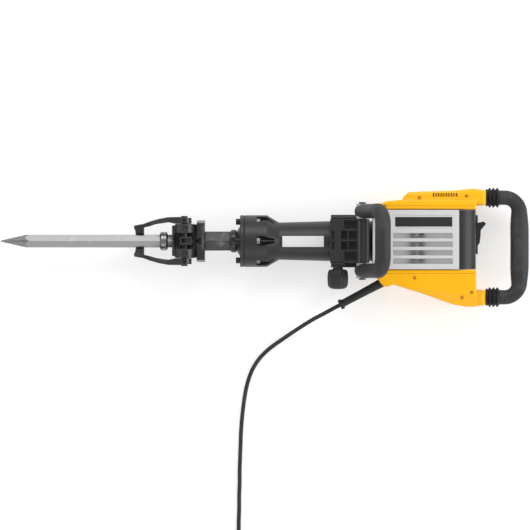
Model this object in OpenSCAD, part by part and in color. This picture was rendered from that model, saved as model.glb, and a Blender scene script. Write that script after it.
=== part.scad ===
// Electric demolition hammer (jackhammer), lying on its side, with its point chisel fitted.
// X runs along the hammer from the chisel's tip to the rear handle, Y from the cord side to the
// vent side, and Z up from the floor. The hammer's own axis lies along X at (axis_y, axis_z).

/* [Layout] */
// Height of the hammer's axis over the floor, which is half the depth of the motor housing
axis_z = 58; // [58:1:58]
// Sideways place of the hammer's axis, which centres the whole tool on Y = 0
axis_y = 14; // [10:1:18]

/* [Chisel] */
// Width of the hexagonal chisel bar across its flats
chisel_af = 28; // [28:0.1:28.2]
// X of the chisel's tip
tip_x = -581; // [-620:1:-500]
// Length of the ground point
point_len = 66; // [50:1:80]
// X of the collar's front face
collar_x = -231; // [-236:1:-228]
// Length of the collar
collar_len = 17; // [12:1:18]
// Radius of the collar
collar_r = 20.5; // [19:0.1:21]
// X of the shank's rear end, clear of the beat piece in its foremost place
shank_end_x = -70; // [-72:1:-70]

/* [Tool holder] */
// Width of the holder's hexagonal neck across its flats
neck_af = 42; // [40:0.5:44]
// X of the holder's front face
holder_x = -204; // [-206:1:-202]
// Radius of the two hinge drums
drum_r = 22; // [20:0.5:24]
// X of the retainer's hinge
hinge_x = -177; // [-180:1:-175]
// Height of the retainer's hinge over the hammer's axis
hinge_z = 33; // [32:1:35]
// Half the width over the retainer's arms
bail_half = 53; // [50:1:56]
// X of the retainer's front edge
bail_front_x = -288; // [-290:1:-284]

/* [Barrel] */
// Radius of the bolted front flange
flange_r = 57; // [56:0.5:57.5]
// X of the front cover's face
cover_x = -55; // [-56:1:-54]
// X of the barrel's end in the motor housing
barrel_end_x = 236; // [236:1:236]
// Bolt circle radius of the front flange's six bolts
bolt_circle_r = 49; // [48.5:0.5:49.5]
// Radius of the seat that the side handle's clamp turns on
seat_r = 44; // [43:0.5:45]

/* [Hammer mechanism] */
// Bore radius of the hammer tube
bore_r = 23.05; // [23.05:0.01:23.1]
// Radius of the crank's throw
throw = 16; // [14:1:16]
// X of the crankshaft's axis
crank_x = 300; // [300:1:300]
// Distance between the axes of each gear pair
gear_step = 45; // [45:1:45]

/* [Motor housing] */
// Half the depth of the yellow shells
shell_half = 55; // [53:1:56]
// Wall thickness of the shells
shell_wall = 4; // [3:0.5:4]
// Y of the silver panels' upper edge over the hammer's axis
panel_top = 68; // [66:1:70]
// Y of the silver panels' lower edge under the hammer's axis
panel_bottom = -62; // [-64:1:-61]
// X of the panels' front edge, clear of the side handle as it swivels past
panel_front_x = 236; // [236:1:240]
// X of the panels' rear edge
panel_rear_x = 425; // [424:1:430]
// X of the rear cover's back
cover_rear_x = 463; // [461:1:464]

/* [Side handle] */
// Radius of the side handle's legs
leg_r = 16.4; // [15:0.1:16.4]
// Half the distance between the legs' axes
leg_half = 65; // [65:0.5:66]
// Radius of the side handle's grip
side_grip_r = 17; // [16.5:0.5:18.5]
// Distance from the side handle's pivot to its grip
side_reach = 128; // [120:1:130]
// Rearward lean of the side handle
side_lean = 19.5; // [10:0.5:19.5]

/* [Rear handle] */
// Radius of the rear grip
rear_grip_r = 20; // [18:0.5:21]
// X of the rear grip's axis
rear_grip_x = 560; // [555:1:561]
// Y of the rear handle's upper arm over the hammer's axis
upper_arm_y = 95.5; // [95:0.5:96]
// Y of the rear handle's lower arm under the hammer's axis
lower_arm_y = -123.5; // [-124:0.5:-123]

/* [Cord] */
// Diameter of the rubber mains cord
cord_d = 9; // [8:0.5:9]
// Turns of cord in each layer of the coil
coil_turns = 3; // [2:1:4]
// Layers of cord in the coil
coil_layers = 4; // [2:2:4]

/* [Hidden] */
$fn = 64;

// Fits
run_gap = 0.06;       // radial clearance of a turning or sliding fit
hex_gap = 0.15;       // clearance of the chisel's hexagon in its socket
// Chisel and tool holder
hex_to_r = 1 / cos(30) / 2;             // across flats to corner radius
collar_end_x = collar_x + collar_len;
nose_r = 14;                            // beat piece's nose, which the chisel's shank rests on
holder_nose_x = -62;                    // where the hexagonal socket turns into the nose's bore
neck_r = 20.5;                          // round neck behind the hexagonal one
drum_y = [17, 37.5];                    // each drum's ends
lug_y = [38, bail_half];                // each retainer lug's ends
hinge_pin_r = 7;
bush_r = 10;                            // retainer bushes, pressed in the drums
fork_x = bail_front_x + 22;             // rear face of the retainer's fork
bail_low = -26;                         // far side of the fork
// Barrel
barrel_face_x = cover_x + 9;            // joint between front cover and barrel
flange_end_x = 6;
taper_end_x = 31;
barrel_r = 41;
clamp_x = [143, 228];                   // the side handle clamp's ends on the barrel
sleeve_r = 28.5;                        // hammer tube's outer radius
relief_r = 37;                          // air space round the middle of the hammer tube
wrist_x = 200;                          // piston pin, at the front of its stroke
wrist_r = 7;
crank_pin_r = 8;
// Gears: module, teeth
fine_module = 1.5;
coarse_module = 2;
motor_teeth = 12;
counter_teeth = 48;
pinion_teeth = 10;
crank_teeth = 35;
counter_x = crank_x + gear_step;
motor_x = crank_x + 2 * gear_step;
plate_y = [-69, -60];                   // gear plate between crank case and gears
crank_gear_y = [-80, -71];
counter_gear_y = [-89, -82];
// Motor
core_y = [-14, 48];                     // laminated stack's ends
fan_y = [68, 81];
motor_case_y = [-60, 64];
// Rear handle
handle_bar_r = 8;
spigot_r = 5;                           // end of each arm inside its spring
bellows_x = [485, 516];
elbow_r = 29;
// Side handle
pivot = [213, 52];                      // X and height of the side handle's pin
post = [221, 53];                       // X and height of the bracket's rounded rear edge
post_r = 8;
pin_r = 5;
side_elbow_r = 30;
knob_x = 159.5;
knob_z = 52;
// Rocker switch
rocker_at = [464, 16];
// Cord: the exit, the sleeve's direction and the route along the floor, in the part's own frame
cord_r = cord_d / 2;
sleeve_at = [254, -93];                 // middle of the sleeve's root, from the hammer's axis
sleeve_angle = 208;
sleeve_len = 102;
coil_pitch = 9.3;
coil_at = [-126, -716];
coil_out_r = 54 + coil_turns * coil_pitch / 2;
coil_in_r = 54 - coil_turns * coil_pitch / 2;
coil_height = coil_layers * coil_pitch;
RUN = [[164, -127, 58], [147, -136, 57], [129, -146, 52], [110, -156, 42], [92, -167, 29],
    [75, -178, 17], [57, -190, 9], [38, -203, 5], [18, -217, 4.5], [0, -232, 4.5],
    [-16, -250, 4.5], [-29, -272, 4.5], [-38, -297, 4.5], [-44, -324, 4.5], [-48, -352, 4.5],
    [-51, -380, 4.5], [-53, -408, 4.5], [-54, -436, 4.5], [-55, -464, 4.5], [-56, -492, 4.5],
    [-56, -520, 4.5], [-57, -548, 4.5], [-57, -576, 4.5], [-58, -604, 4.5], [-58, -632, 4.5],
    [-58, -660, 4.5], [-58, -688, 4.5], [-58, -716, 4.5]];
TAIL = [[-58, -716, 32.5], [-58, -734, 32], [-60, -752, 29], [-65, -769, 23], [-75, -785, 16],
    [-90, -797, 9], [-107, -804, 5.5], [-120, -807, 4.5]];
plug_at = [-120, -807];

// ---------------------------------------------------------------- helpers

// Moves a piece from the hammer's axis to its place over the floor
module at_axis() translate([0, axis_y, axis_z]) children();

// Turns a shape drawn along Z so that it lies along X, with its start at x0
module along_x(x0) translate([x0, 0, 0]) rotate([0, 90, 0]) children();

// Round bar along X
module bar_x(x0, x1, r) along_x(x0) cylinder(h = x1 - x0, r = r);

// Hexagonal bar along X, with its corners up and down
module hex_x(x0, x1, af) along_x(x0) cylinder(h = x1 - x0, r = af * hex_to_r, $fn = 6);

// Round bar along Y at (x, z)
module bar_y(x, z, y0, y1, r) translate([x, y0, z]) rotate([-90, 0, 0]) cylinder(h = y1 - y0, r = r);

// Round bar along Z at (x, y)
module bar_z(x, y, z0, z1, r) translate([x, y, z0]) cylinder(h = z1 - z0, r = r);

// Box between two corners
module box(low, high) translate(low) cube(high - low);

// Solid of revolution about X, from a profile of (x, radius) points
module turned(profile) rotate([0, 90, 0]) rotate([0, 0, 90])
    rotate_extrude() polygon([for (p = profile) [p[1], p[0]]]);

// Copies a piece to the other side of the XZ plane
module both_y() { children(); mirror([0, 1, 0]) children(); }

// Copies a piece to the other side of the XY plane
module both_z() { children(); mirror([0, 0, 1]) children(); }

function unit(v) = v / norm(v);
function heading(p, i) = unit(p[min(i + 1, len(p) - 1)] - p[max(i - 1, 0)]);

// Round tube swept along points, where up is a direction that the path never takes
module swept(p, r, sides, up = [0, 0, 1]) {
    rings = [for (i = [0:len(p) - 1])
        let (t = heading(p, i), n = unit(cross(t, up)), b = cross(n, t))
        for (k = [0:sides - 1]) p[i] + r * (cos(360 * k / sides) * n + sin(360 * k / sides) * b)];
    last = (len(p) - 1) * sides;
    walls = [for (i = [0:len(p) - 2], k = [0:sides - 1])
        let (a = i * sides + k, c = i * sides + (k + 1) % sides)
        each [[a, c, c + sides], [a, c + sides, a + sides]]];
    polyhedron(rings, concat([[for (k = [sides - 1:-1:0]) k]], walls,
        [[for (k = [0:sides - 1]) last + k]]));
}

// Involute spur gear in the XY plane, 20 degree pressure angle, with one tooth on +X
function involute(a) = tan(a) * 180 / PI - a;
module gear_outline(teeth, m) {
    base = m * teeth / 2 * cos(20);
    tip = m * teeth / 2 + 0.85 * m;
    root = m * teeth / 2 - 1.15 * m;
    half = 90 / teeth - 1.7 / teeth + involute(20);
    start = max(base, root);
    flank = [for (i = [0:3]) let (r = start + (tip - start) * i / 3)
        [r, half - involute(acos(min(1, base / r)))]];
    tooth = concat([[root, -half]], [for (f = flank) [f[0], -f[1]]],
        [for (i = [3:-1:0]) flank[i]], [[root, half]]);
    polygon([for (k = [0:teeth - 1]) each [for (t = tooth)
        [t[0] * cos(t[1] + 360 * k / teeth), t[0] * sin(t[1] + 360 * k / teeth)]]]);
}
module gear(x, y, teeth, m, hole, turn = 0) translate([x, y[0], 0]) rotate([-90, 0, 0])
    linear_extrude(y[1] - y[0]) difference() { rotate(turn) gear_outline(teeth, m); circle(r = hole); }

// Quarter torus in the XY plane about a centre, from angle a on
module elbow(centre, a, bend, r) translate(centre) rotate([0, 0, a])
    rotate_extrude(angle = 90) translate([bend, 0]) circle(r = r);

// ---------------------------------------------------------------- chisel and tool holder

module chisel() color("silver") at_axis() {
    intersection() {
        hex_x(tip_x, collar_x + 2, chisel_af);
        union() {
            turned([[tip_x, 0], [tip_x, 1.4], [tip_x + point_len, 16.8], [tip_x + point_len, 0]]);
            bar_x(tip_x + point_len - 1, collar_x + 2, 17);
        }
    }
    turned([[collar_x, 0], [collar_x, collar_r - 3], [collar_x + 3, collar_r],
        [collar_end_x - 3, collar_r], [collar_end_x, collar_r - 3], [collar_end_x, 0]]);
    hex_x(collar_end_x - 2, shank_end_x, chisel_af);
}

module tool_holder() color("dimgray") at_axis() difference() {
    union() {
        box([holder_x, -33, -30], [holder_x + 5, 34, 34]);
        box([holder_x + 3, -24, -28], [-150, 24, 22]);
        both_y() bar_y(hinge_x + 1.5, hinge_z, drum_y[0], drum_y[1], drum_r);
        both_y() box([hinge_x - 18, 17, -18], [-150, 36, 30]);
        box([hinge_x - 10, -10, 15], [hinge_x + 16, 11, 45]);
        along_x(-150) linear_extrude(18) polygon([[-40, -42], [-40, 40], [30, 46], [34, 40],
            [34, -40], [30, -46]]);
        hex_x(-140, -77, neck_af);
        bar_x(-80, -50, neck_r);
        bar_x(-50, -38, 30);
    }
    hex_x(holder_x - 1, holder_nose_x, chisel_af + hex_gap);
    bar_x(holder_nose_x - 1, -37, nose_r + run_gap);
    bar_y(hinge_x, hinge_z, -60, 60, hinge_pin_r + run_gap);
    both_y() bar_y(hinge_x, hinge_z, drum_y[0] - 1, 60, bush_r);
    box([hinge_x - 6, -4, 39], [hinge_x + 12, 5, 50]);
    both_y() bar_z(hinge_x + 4, 28, hinge_z + drum_r - 6, 60, 2);
}

module retainer_bushes() color("goldenrod") at_axis() both_y() difference() {
    bar_y(hinge_x, hinge_z, drum_y[0], drum_y[1], bush_r);
    bar_y(hinge_x, hinge_z, drum_y[0] - 1, drum_y[1] + 1, hinge_pin_r + run_gap);
}

module retainer_pin() color("silver") at_axis() {
    difference() {
        bar_y(hinge_x, hinge_z, -bail_half - 2, bail_half + 2, hinge_pin_r);
        both_y() bar_z(hinge_x, 46, hinge_z - 20, hinge_z + 20, 2.5);
    }
    both_y() bar_z(hinge_x, 46, hinge_z - 15, hinge_z + 16.5, 2.5);
}

// Outline of one retainer arm and half of its fork, seen along Z
module arm_outline() polygon([[hinge_x + 17, lug_y[0]], [hinge_x + 17, lug_y[1] - 2],
    [hinge_x + 8, lug_y[1] - 2], [hinge_x + 5, lug_y[1]], [-212, 52.5], [-232, 49], [-252, 43.5],
    [-268, 37.5], [-278, 36], [bail_front_x, 34], [bail_front_x, 27], [-285, 23], [-285, 0],
    [fork_x, 0], [fork_x, 30], [-252, 33], [-240, 37], [-212, 41], [-197, lug_y[0]]]);

// Side view of the retainer, seen along Y
module arm_side() union() {
    translate([hinge_x, hinge_z]) circle(r = 16);
    polygon([[hinge_x, hinge_z + 16], [-215, hinge_z + 6], [-250, 16], [bail_front_x, 12],
        [bail_front_x, bail_low], [fork_x, bail_low], [-250, -10], [-215, hinge_z - 20],
        [hinge_x, hinge_z - 16]]);
}

module retainer_bail() color("dimgray") at_axis() difference() {
    intersection() {
        both_y() translate([0, 0, -40]) linear_extrude(100) arm_outline();
        translate([0, 70, 0]) rotate([90, 0, 0]) linear_extrude(140) arm_side();
    }
    bar_y(hinge_x, hinge_z, -70, 70, hinge_pin_r);
    both_y() bar_z(hinge_x, 46, hinge_z - 20, hinge_z + 20, 2.5);
    bar_x(bail_front_x - 1, fork_x + 1, 17);
    box([bail_front_x - 1, -17, 0], [fork_x + 1, 17, 40]);
}

module holder_nut() color("gray") at_axis() difference() {
    union() {
        turned([[-76.5, 0], [-76.5, 22], [-73, 25], [-65, 25], [-62, 22], [-62, 0]]);
        box([-76, -3, 20], [-64, 9, 26]);
    }
    bar_x(-78, -60, neck_r);
}

// ---------------------------------------------------------------- barrel and hammer tube

module around_flange() for (a = [0:60:300]) rotate([a, 0, 0]) translate([0, 0, bolt_circle_r]) children();

module front_cover() color("dimgray") at_axis() difference() {
    turned([[cover_x - 6.5, neck_r + 0.1], [cover_x - 6.5, 23], [cover_x, 33], [cover_x, flange_r - 1],
        [cover_x + 1, flange_r], [barrel_face_x, flange_r], [barrel_face_x, 30.2], [-50, 30.2],
        [-50, neck_r + 0.1]]);
    around_flange() bar_x(cover_x - 1, barrel_face_x + 1, 4.3);
}

module flange_bolts() color("darkgray") at_axis() around_flange() difference() {
    union() {
        bar_x(cover_x - 9, cover_x, 6.5);
        bar_x(cover_x, -10, 4);
    }
    hex_x(cover_x - 10, cover_x - 4, 6);
}

module flange_nuts() color("silver") at_axis() around_flange() difference() {
    hex_x(-18, -11, 13);
    bar_x(-19, -10, 4);
}

// Tapered pocket behind each bolt, which a wrench reaches the nut through
module nut_pocket() difference() {
    translate([0, 0, -7.7]) linear_extrude(40) polygon([[-18, -10], [-18, 10], [-6, 10], [24, 3],
        [24, -3], [-6, -10]]);
    translate([0, 0, -8.7]) linear_extrude(12) polygon([[-9, -3], [-9, 3], [24, 1], [24, -1]]);
}

module barrel() color("dimgray") at_axis() difference() {
    turned([[barrel_face_x, 0], [barrel_face_x, flange_r], [flange_end_x - 1, flange_r],
        [flange_end_x, flange_r - 1], [taper_end_x, barrel_r], [clamp_x[0] - 3, seat_r],
        [barrel_end_x, seat_r], [barrel_end_x, 0]]);
    bar_x(barrel_face_x - 1, -38, 30.2);
    bar_x(-39, barrel_end_x + 1, sleeve_r);
    bar_x(0, 130, relief_r);
    around_flange() {
        bar_x(barrel_face_x - 1, -17, 4.3);
        nut_pocket();
    }
}

module barrel_label() color("whitesmoke") at_axis() intersection() {
    turned([[38, barrel_r], [38, 42.4], [129, 44.8], [129, barrel_r]]);
    difference() {
        box([38, -13, 10], [129, 11, 60]);
        turned([[30, 0], [30, barrel_r - 0.03], [clamp_x[0] - 3, seat_r], [clamp_x[0] - 3, 0]]);
    }
}

module cylinder_tube(x0, x1, outer, inner) difference() {
    bar_x(x0, x1, outer);
    bar_x(x0 - 1, x1 + 1, inner);
}

module hammer_tube() color("lightsteelblue") at_axis() difference() {
    cylinder_tube(-36, barrel_end_x, sleeve_r, bore_r);
    for (x = [42, 138], a = [0:60:300]) rotate([a, 0, 0]) bar_z(x, 0, 10, 40, 2.5);
}

module damper_ring() color("black") at_axis() cylinder_tube(-20, -11, bore_r, 15.2);

module beat_piece() color("gray") at_axis() turned([[-63, 0], [-63, nose_r], [-31, nose_r],
    [-31, bore_r - run_gap], [-21, bore_r - run_gap], [-21, 15], [28, 15], [31, 12], [31, 0]]);

module ram() color("slategray") at_axis() turned([[48, 0], [48, 18], [54, bore_r - run_gap],
    [66, bore_r - run_gap], [66, 20.5], [69, 20.5], [69, bore_r - run_gap], [112, bore_r - run_gap],
    [112, 20.5], [115, 20.5], [115, bore_r - run_gap], [124, bore_r - run_gap], [124, 0]]);

module piston() color("lightgray") at_axis() difference() {
    turned([[152, 0], [152, bore_r - run_gap], [158, bore_r - run_gap], [158, 20.5], [161, 20.5],
        [161, bore_r - run_gap], [212, bore_r - run_gap], [212, 0]]);
    bar_y(wrist_x, 0, -30, 30, wrist_r + run_gap);
    box([184, -9.5, -30], [213, 9.5, 30]);
}

module con_rod() color("gray") at_axis() difference() {
    union() {
        bar_y(wrist_x, 0, -9, 9, 12);
        box([wrist_x + 5, -6, -7], [crank_x - throw - 10, 6, 7]);
        bar_y(crank_x - throw, 0, -9, 9, 15);
    }
    bar_y(wrist_x, 0, -10, 10, wrist_r);
    bar_y(crank_x - throw, 0, -10, 10, crank_pin_r);
}

module con_rod_pins() color("silver") at_axis() {
    bar_y(wrist_x, 0, -21, 21, wrist_r);
    bar_y(crank_x - throw, 0, -19.6, 12, crank_pin_r);
}

module crankshaft() color("darkgray") at_axis() union() {
    bar_y(crank_x, 0, -32, -20, 30);
    bar_y(crank_x, 0, crank_gear_y[0] - 1.5, -32, 10);
}

module crank_gear() color("gray") at_axis()
    gear(crank_x, crank_gear_y, crank_teeth, coarse_module, 10);

// ---------------------------------------------------------------- gear case and gears

module gear_case() color("darkgray") at_axis() difference() {
    box([barrel_end_x, -60, -48], [338, 46, 48]);
    bar_x(barrel_end_x - 1, crank_x - 10, sleeve_r - 4);
    bar_y(crank_x, 0, -33, 35, 35.5);
    bar_y(crank_x, 0, -52, -30, 20);
    bar_y(crank_x, 0, -61, -50, 12);
    bar_y(motor_x, 0, -70, 80, 51);
}

module gear_plate() color("darkgray") at_axis() difference() {
    box([256, plate_y[0], -44], [412, plate_y[1], 44]);
    bar_y(crank_x, 0, -70, -50, 12);
    bar_y(counter_x, 0, -70, -50, 11);
    bar_y(motor_x, 0, -70, -50, 16);
}

module gear_cover() color("darkgray") at_axis() difference() {
    union() {
        box([261, -84, -44], [342, plate_y[0], 44]);
        box([304, -93, -44], [412, plate_y[0], 44]);
        bar_y(counter_x, 0, -99, -90, 15);
    }
    bar_y(crank_x, 0, -82, -60, 38);
    bar_y(counter_x, 0, -90.5, -60, 38.5);
    bar_y(motor_x, 0, -91, -60, 18);
    bar_y(counter_x, 0, -97, -89, 11);
}

module bearing(x, y0, y1, inner, outer) difference() {
    bar_y(x, 0, y0, y1, outer);
    bar_y(x, 0, y0 - 1, y1 + 1, inner + run_gap);
    for (y = [y0, y1]) difference() {
        bar_y(x, 0, y - 0.6, y + 0.6, outer - 2);
        bar_y(x, 0, y - 1, y + 1, inner + 2);
    }
}

module bearings() color("silver") at_axis() {
    bearing(crank_x, -50, -36, 10, 20);
    bearing(counter_x, plate_y[0], plate_y[1], 5, 11);
    bearing(counter_x, -97, -91, 5, 11);
    bearing(motor_x, plate_y[0], plate_y[1], 6, 16);
    bearing(motor_x, 86, 95, 6, 13);
}

module counter_shaft() color("silver") at_axis() {
    bar_y(counter_x, 0, -97, -60, 5);
    gear(counter_x, [crank_gear_y[0] - 0.5, crank_gear_y[1] + 0.5], pinion_teeth, coarse_module, 4, 18);
}

module counter_gear() color("gray") at_axis()
    gear(counter_x, counter_gear_y, counter_teeth, fine_module, 5);

// ---------------------------------------------------------------- motor

module motor_shaft() color("silver") at_axis() {
    bar_y(motor_x, 0, -80, 95, 6);
    gear(motor_x, [-90, -80], motor_teeth, fine_module, 4, 15);
    bar_y(motor_x, 0, -90, -80, 4.5);
}

module armature() color("peru") at_axis() difference() {
    union() {
        bar_y(motor_x, 0, core_y[0], core_y[1], 25);
        bar_y(motor_x, 0, core_y[0] - 10, core_y[1] + 8, 20);
    }
    bar_y(motor_x, 0, -50, 80, 6);
    for (a = [0:30:330]) translate([motor_x, 0, 0]) rotate([0, a, 0])
        box([22.5, core_y[0] - 1, -1.2], [26, core_y[1] + 1, 1.2]);
}

module commutator() color("orange") at_axis() difference() {
    bar_y(motor_x, 0, -50, core_y[0] - 11, 17);
    bar_y(motor_x, 0, -51, 0, 6);
}

module fan() color("ivory") at_axis() difference() {
    union() {
        bar_y(motor_x, 0, fan_y[0], fan_y[0] + 2, 40);
        bar_y(motor_x, 0, fan_y[0], fan_y[1], 12);
        for (a = [0:30:330]) translate([motor_x, 0, 0]) rotate([0, a, 0])
            box([11, fan_y[0], -1], [38, fan_y[1], 1]);
    }
    bar_y(motor_x, 0, fan_y[0] - 1, fan_y[1] + 1, 6);
}

module stator() color("gray") at_axis() difference() {
    bar_y(motor_x, 0, core_y[0], core_y[1], 46);
    bar_y(motor_x, 0, core_y[0] - 1, core_y[1] + 1, 26);
    both_z() box([motor_x - 22, core_y[0] - 1, 27], [motor_x + 22, core_y[1] + 1, 39]);
}

module field_windings() color("chocolate") at_axis() both_z() difference() {
    box([motor_x - 21.5, core_y[0] - 9, 28], [motor_x + 21.5, core_y[1] + 9, 38.5]);
    bar_y(motor_x, 0, -80, 80, 27);
}

module motor_case() color("black") at_axis() difference() {
    bar_y(motor_x, 0, motor_case_y[0], motor_case_y[1], 50);
    bar_y(motor_x, 0, motor_case_y[0] + 6, motor_case_y[1] + 1, 46);
    bar_y(motor_x, 0, motor_case_y[0] - 1, motor_case_y[0] + 7, 18);
    both_z() box([motor_x - 9, -46, 30], [motor_x + 9, -30, 52]);
}

module brush_gear() color("gold") at_axis() both_z() {
    difference() {
        box([motor_x - 7, -45, 20], [motor_x + 7, -31, 50]);
        box([motor_x - 4, -42, 19], [motor_x + 4, -34, 47]);
    }
    box([motor_x - 4, -42, 17.6], [motor_x + 4, -34, 38]);
}

module control_module() color("darkgreen") at_axis() union() {
    box([425, -110, -34], [455, -74, 34]);
    for (z = [-20, 0, 20]) translate([0, -92, z]) bar_x(418, 425, 6);
}

// ---------------------------------------------------------------- motor housing

// Side view of the upper shell, drawn inward by a wall of w
module upper_outline(w) polygon([[244 + w, panel_top - w / 4], [244 + w, 82 - w], [273, 86 - w],
    [297 + w, 90 - w], [304 + w / 2, 98 - w], [315, 108 - w], [415, 111.5 - w], [462, 115.5 - w],
    [482, 112 - w], [485 - w, 110 - w], [485 - w, 80 + w], [466, 77.5 + w], [463 - w, 72],
    [463 - w, panel_top - w / 4]]);

// Side view of the lower shell, drawn inward by a wall of w
module lower_outline(w) polygon([[245 + w, panel_bottom + w / 4], [245 + w, -82], [249 + w, -88 + w / 2],
    [260 + w / 2, -99.5 + w], [267, -101 + w], [281, -95 + w], [336, -112 + w], [414, -140 + w],
    [463, -144 + w], [482, -141 + w], [485 - w, -139 + w], [485 - w, -108 - w], [466, -105.5 - w],
    [463 - w, -100], [463 - w, panel_bottom + w / 4]]);

module shell_screw(x, y) both_z() bar_z(x, y, 46, shell_half, 3);

function screw_places() = [[338, 94], [441, 98], [262, 76], [327, -81], [431, -125], [452, -113]];

// Tube that guides one arm of the rear handle through a shell's rear wall
module arm_guide(y) translate([0, y, 0]) bar_x(462, 485, 11);
module spring_seat(y) box([422, y - 12, -60], [426, y + 12, 60]);
module arm_hole(y) translate([0, y, 0]) bar_x(430, 500, handle_bar_r + run_gap);

module upper_shell() color("gold") at_axis() difference() {
    union() {
        difference() {
            translate([0, 0, -shell_half]) linear_extrude(2 * shell_half) upper_outline(0);
            translate([0, 0, shell_wall - shell_half])
                linear_extrude(2 * (shell_half - shell_wall)) upper_outline(shell_wall);
        }
        intersection() {
            translate([0, 0, -52]) linear_extrude(104) upper_outline(1);
            union() {
                bar_y(motor_x, 0, 84, 108, 17);
                arm_guide(upper_arm_y);
                spring_seat(upper_arm_y);
            }
        }
    }
    bar_y(motor_x, 0, 80, 95, 13);
    arm_hole(upper_arm_y);
    for (i = [0:9]) both_z() box([368 + 5.6 * i, 98, 40], [370.4 + 5.6 * i, 105, 60]);
    for (s = screw_places()) shell_screw(s[0], s[1]);
}

module lower_shell() color("gold") at_axis() difference() {
    union() {
        difference() {
            translate([0, 0, -shell_half]) linear_extrude(2 * shell_half) lower_outline(0);
            translate([0, 0, shell_wall - shell_half])
                linear_extrude(2 * (shell_half - shell_wall)) lower_outline(shell_wall);
        }
        intersection() {
            translate([0, 0, -52]) linear_extrude(104) lower_outline(1);
            union() {
                arm_guide(lower_arm_y);
                spring_seat(lower_arm_y);
            }
        }
    }
    arm_hole(lower_arm_y);
    sleeve_place() cylinder(h = 60, r = 10.2, center = true);
    for (s = screw_places()) shell_screw(s[0], s[1]);
}

module shell_screws() color("dimgray") at_axis() for (s = screw_places()) shell_screw(s[0], s[1]);

// Silver panel with four louvre recesses and a plain raised badge field
module side_panel() difference() {
    box([panel_front_x, panel_bottom, axis_z - 5], [panel_rear_x, panel_top, axis_z]);
    for (i = [0:3]) box([280, 5.5 - 18.6 * i, axis_z - 3], [411, 17.5 - 18.6 * i, axis_z + 1]);
    for (y = [27, 55.5]) box([283, y, axis_z - 1], [411, y + 1.2, axis_z + 1]);
}
module side_panel_near() color("silver") at_axis() side_panel();
module side_panel_far() color("silver") at_axis() mirror([0, 0, 1]) side_panel();

module rear_cover() color("dimgray") at_axis() difference() {
    union() {
        box([panel_rear_x, panel_bottom, -56], [cover_rear_x - 6, panel_top, 56]);
        box([panel_rear_x, panel_bottom, -50], [cover_rear_x, panel_top, 50]);
        both_z() translate([cover_rear_x - 6, panel_bottom, 50]) rotate([-90, 0, 0])
            cylinder(h = panel_top - panel_bottom, r = 6);
    }
    box([panel_rear_x - 1, panel_bottom - 1, -52], [cover_rear_x - 4, panel_top + 1, 52]);
    box([440, -26, -13], [cover_rear_x + 1, 54, 13]);
}

module switch_bezel() color("black") at_axis() difference() {
    union() {
        box([cover_rear_x, -28.5, -16], [cover_rear_x + 4.5, 57, 16]);
        box([442, -25.8, -12.8], [cover_rear_x, 53.8, 12.8]);
    }
    box([444, -12, -10], [cover_rear_x + 6, 46, 10]);
    bar_z(rocker_at[0], rocker_at[1], -11.5, 11.5, 3 + run_gap);
}

module rocker() color("black") at_axis() union() {
    translate([0, 0, -9.6]) linear_extrude(19.2) polygon([[450, 18], [452, -7], [468.5, -9],
        [472, -4], [474, 12], [474.5, 24], [486, 38], [481, 43], [460, 39], [452, 30]]);
    bar_z(rocker_at[0], rocker_at[1], -11.4, 11.4, 3);
}

// ---------------------------------------------------------------- side handle

module clamp_bracket() color("dimgray") at_axis() difference() {
    union() {
        intersection() {
            bar_x(clamp_x[0], clamp_x[1] - 3, 56);
            box([0, -48, 0], [300, 48, 60]);
        }
        box([clamp_x[0], -48, 20], [206, 48, 60]);
        box([205, -48, 40], [post[0], 48, 58]);
        bar_y(post[0], post[1], -48, 48, post_r);
    }
    bar_x(clamp_x[0] - 1, clamp_x[1] + 1, seat_r + run_gap);
    bar_y(pivot[0], pivot[1], -49, 49, pin_r);
    bar_y(knob_x, knob_z, -49, 44, pin_r + run_gap);
    for (y = [[2.5, 22.5], [-20.5, -0.5]]) {
        box([166.5, y[0], 46], [180, y[1], 61]);
        box([182.5, y[0], 46], [201, y[1], 61]);
        box([145.5, y[0], 54], [152, y[1], 61]);
    }
    for (y = [[25.5, 45.5], [-45.5, -23.5]]) box([172, y[0], 46], [201, y[1], 61]);
}

module clamp_band() color("dimgray") at_axis() difference() {
    union() {
        intersection() {
            bar_x(clamp_x[0] + 2, clamp_x[1] - 5, axis_z);
            box([0, -60, -60], [300, 60, 0]);
        }
        box([clamp_x[0] + 2, -53, -20], [175, -48.1, 62]);
        box([clamp_x[0] + 2, 48.1, -20], [clamp_x[1] - 5, 53, 30]);
    }
    bar_x(clamp_x[0] - 1, clamp_x[1] + 1, seat_r + run_gap);
    bar_y(knob_x, knob_z, -60, -40, pin_r + 0.4);
}

module clamp_bolt() color("silver") at_axis() bar_y(knob_x, knob_z, -66, 43, pin_r);

module clamp_knob() color("black") at_axis() difference() {
    union() {
        bar_y(knob_x, knob_z, -62, -53.2, 11);
        bar_y(knob_x, knob_z, -102, -62, 22);
        bar_y(knob_x, knob_z, -106, -102, 17);
    }
    bar_y(knob_x, knob_z, -66, -53, pin_r);
    for (a = [0:30:330]) translate([knob_x, 0, knob_z]) rotate([0, a, 0])
        bar_y(24.5, 0, -107, -64, 3.6);
}

// The side handle is drawn with its legs along Z from its pivot and then leant back
module leaning() translate([pivot[0], 0, pivot[1]]) rotate([0, side_lean, 0]) children();

module side_bar(r, grip_r, from) {
    both_y() bar_z(0, leg_half, from, side_reach - side_elbow_r, r);
    both_y() translate([0, leg_half - side_elbow_r, side_reach - side_elbow_r])
        rotate([0, -90, 0]) elbow([0, 0, 0], 0, side_elbow_r, r);
    bar_y(0, side_reach, side_elbow_r - leg_half, leg_half - side_elbow_r, grip_r);
}

module side_handle_pin() color("silver") at_axis() {
    bar_y(pivot[0], pivot[1], -82, 82, pin_r);
    both_y() bar_y(pivot[0], pivot[1], 82, 85, 8);
}

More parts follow.
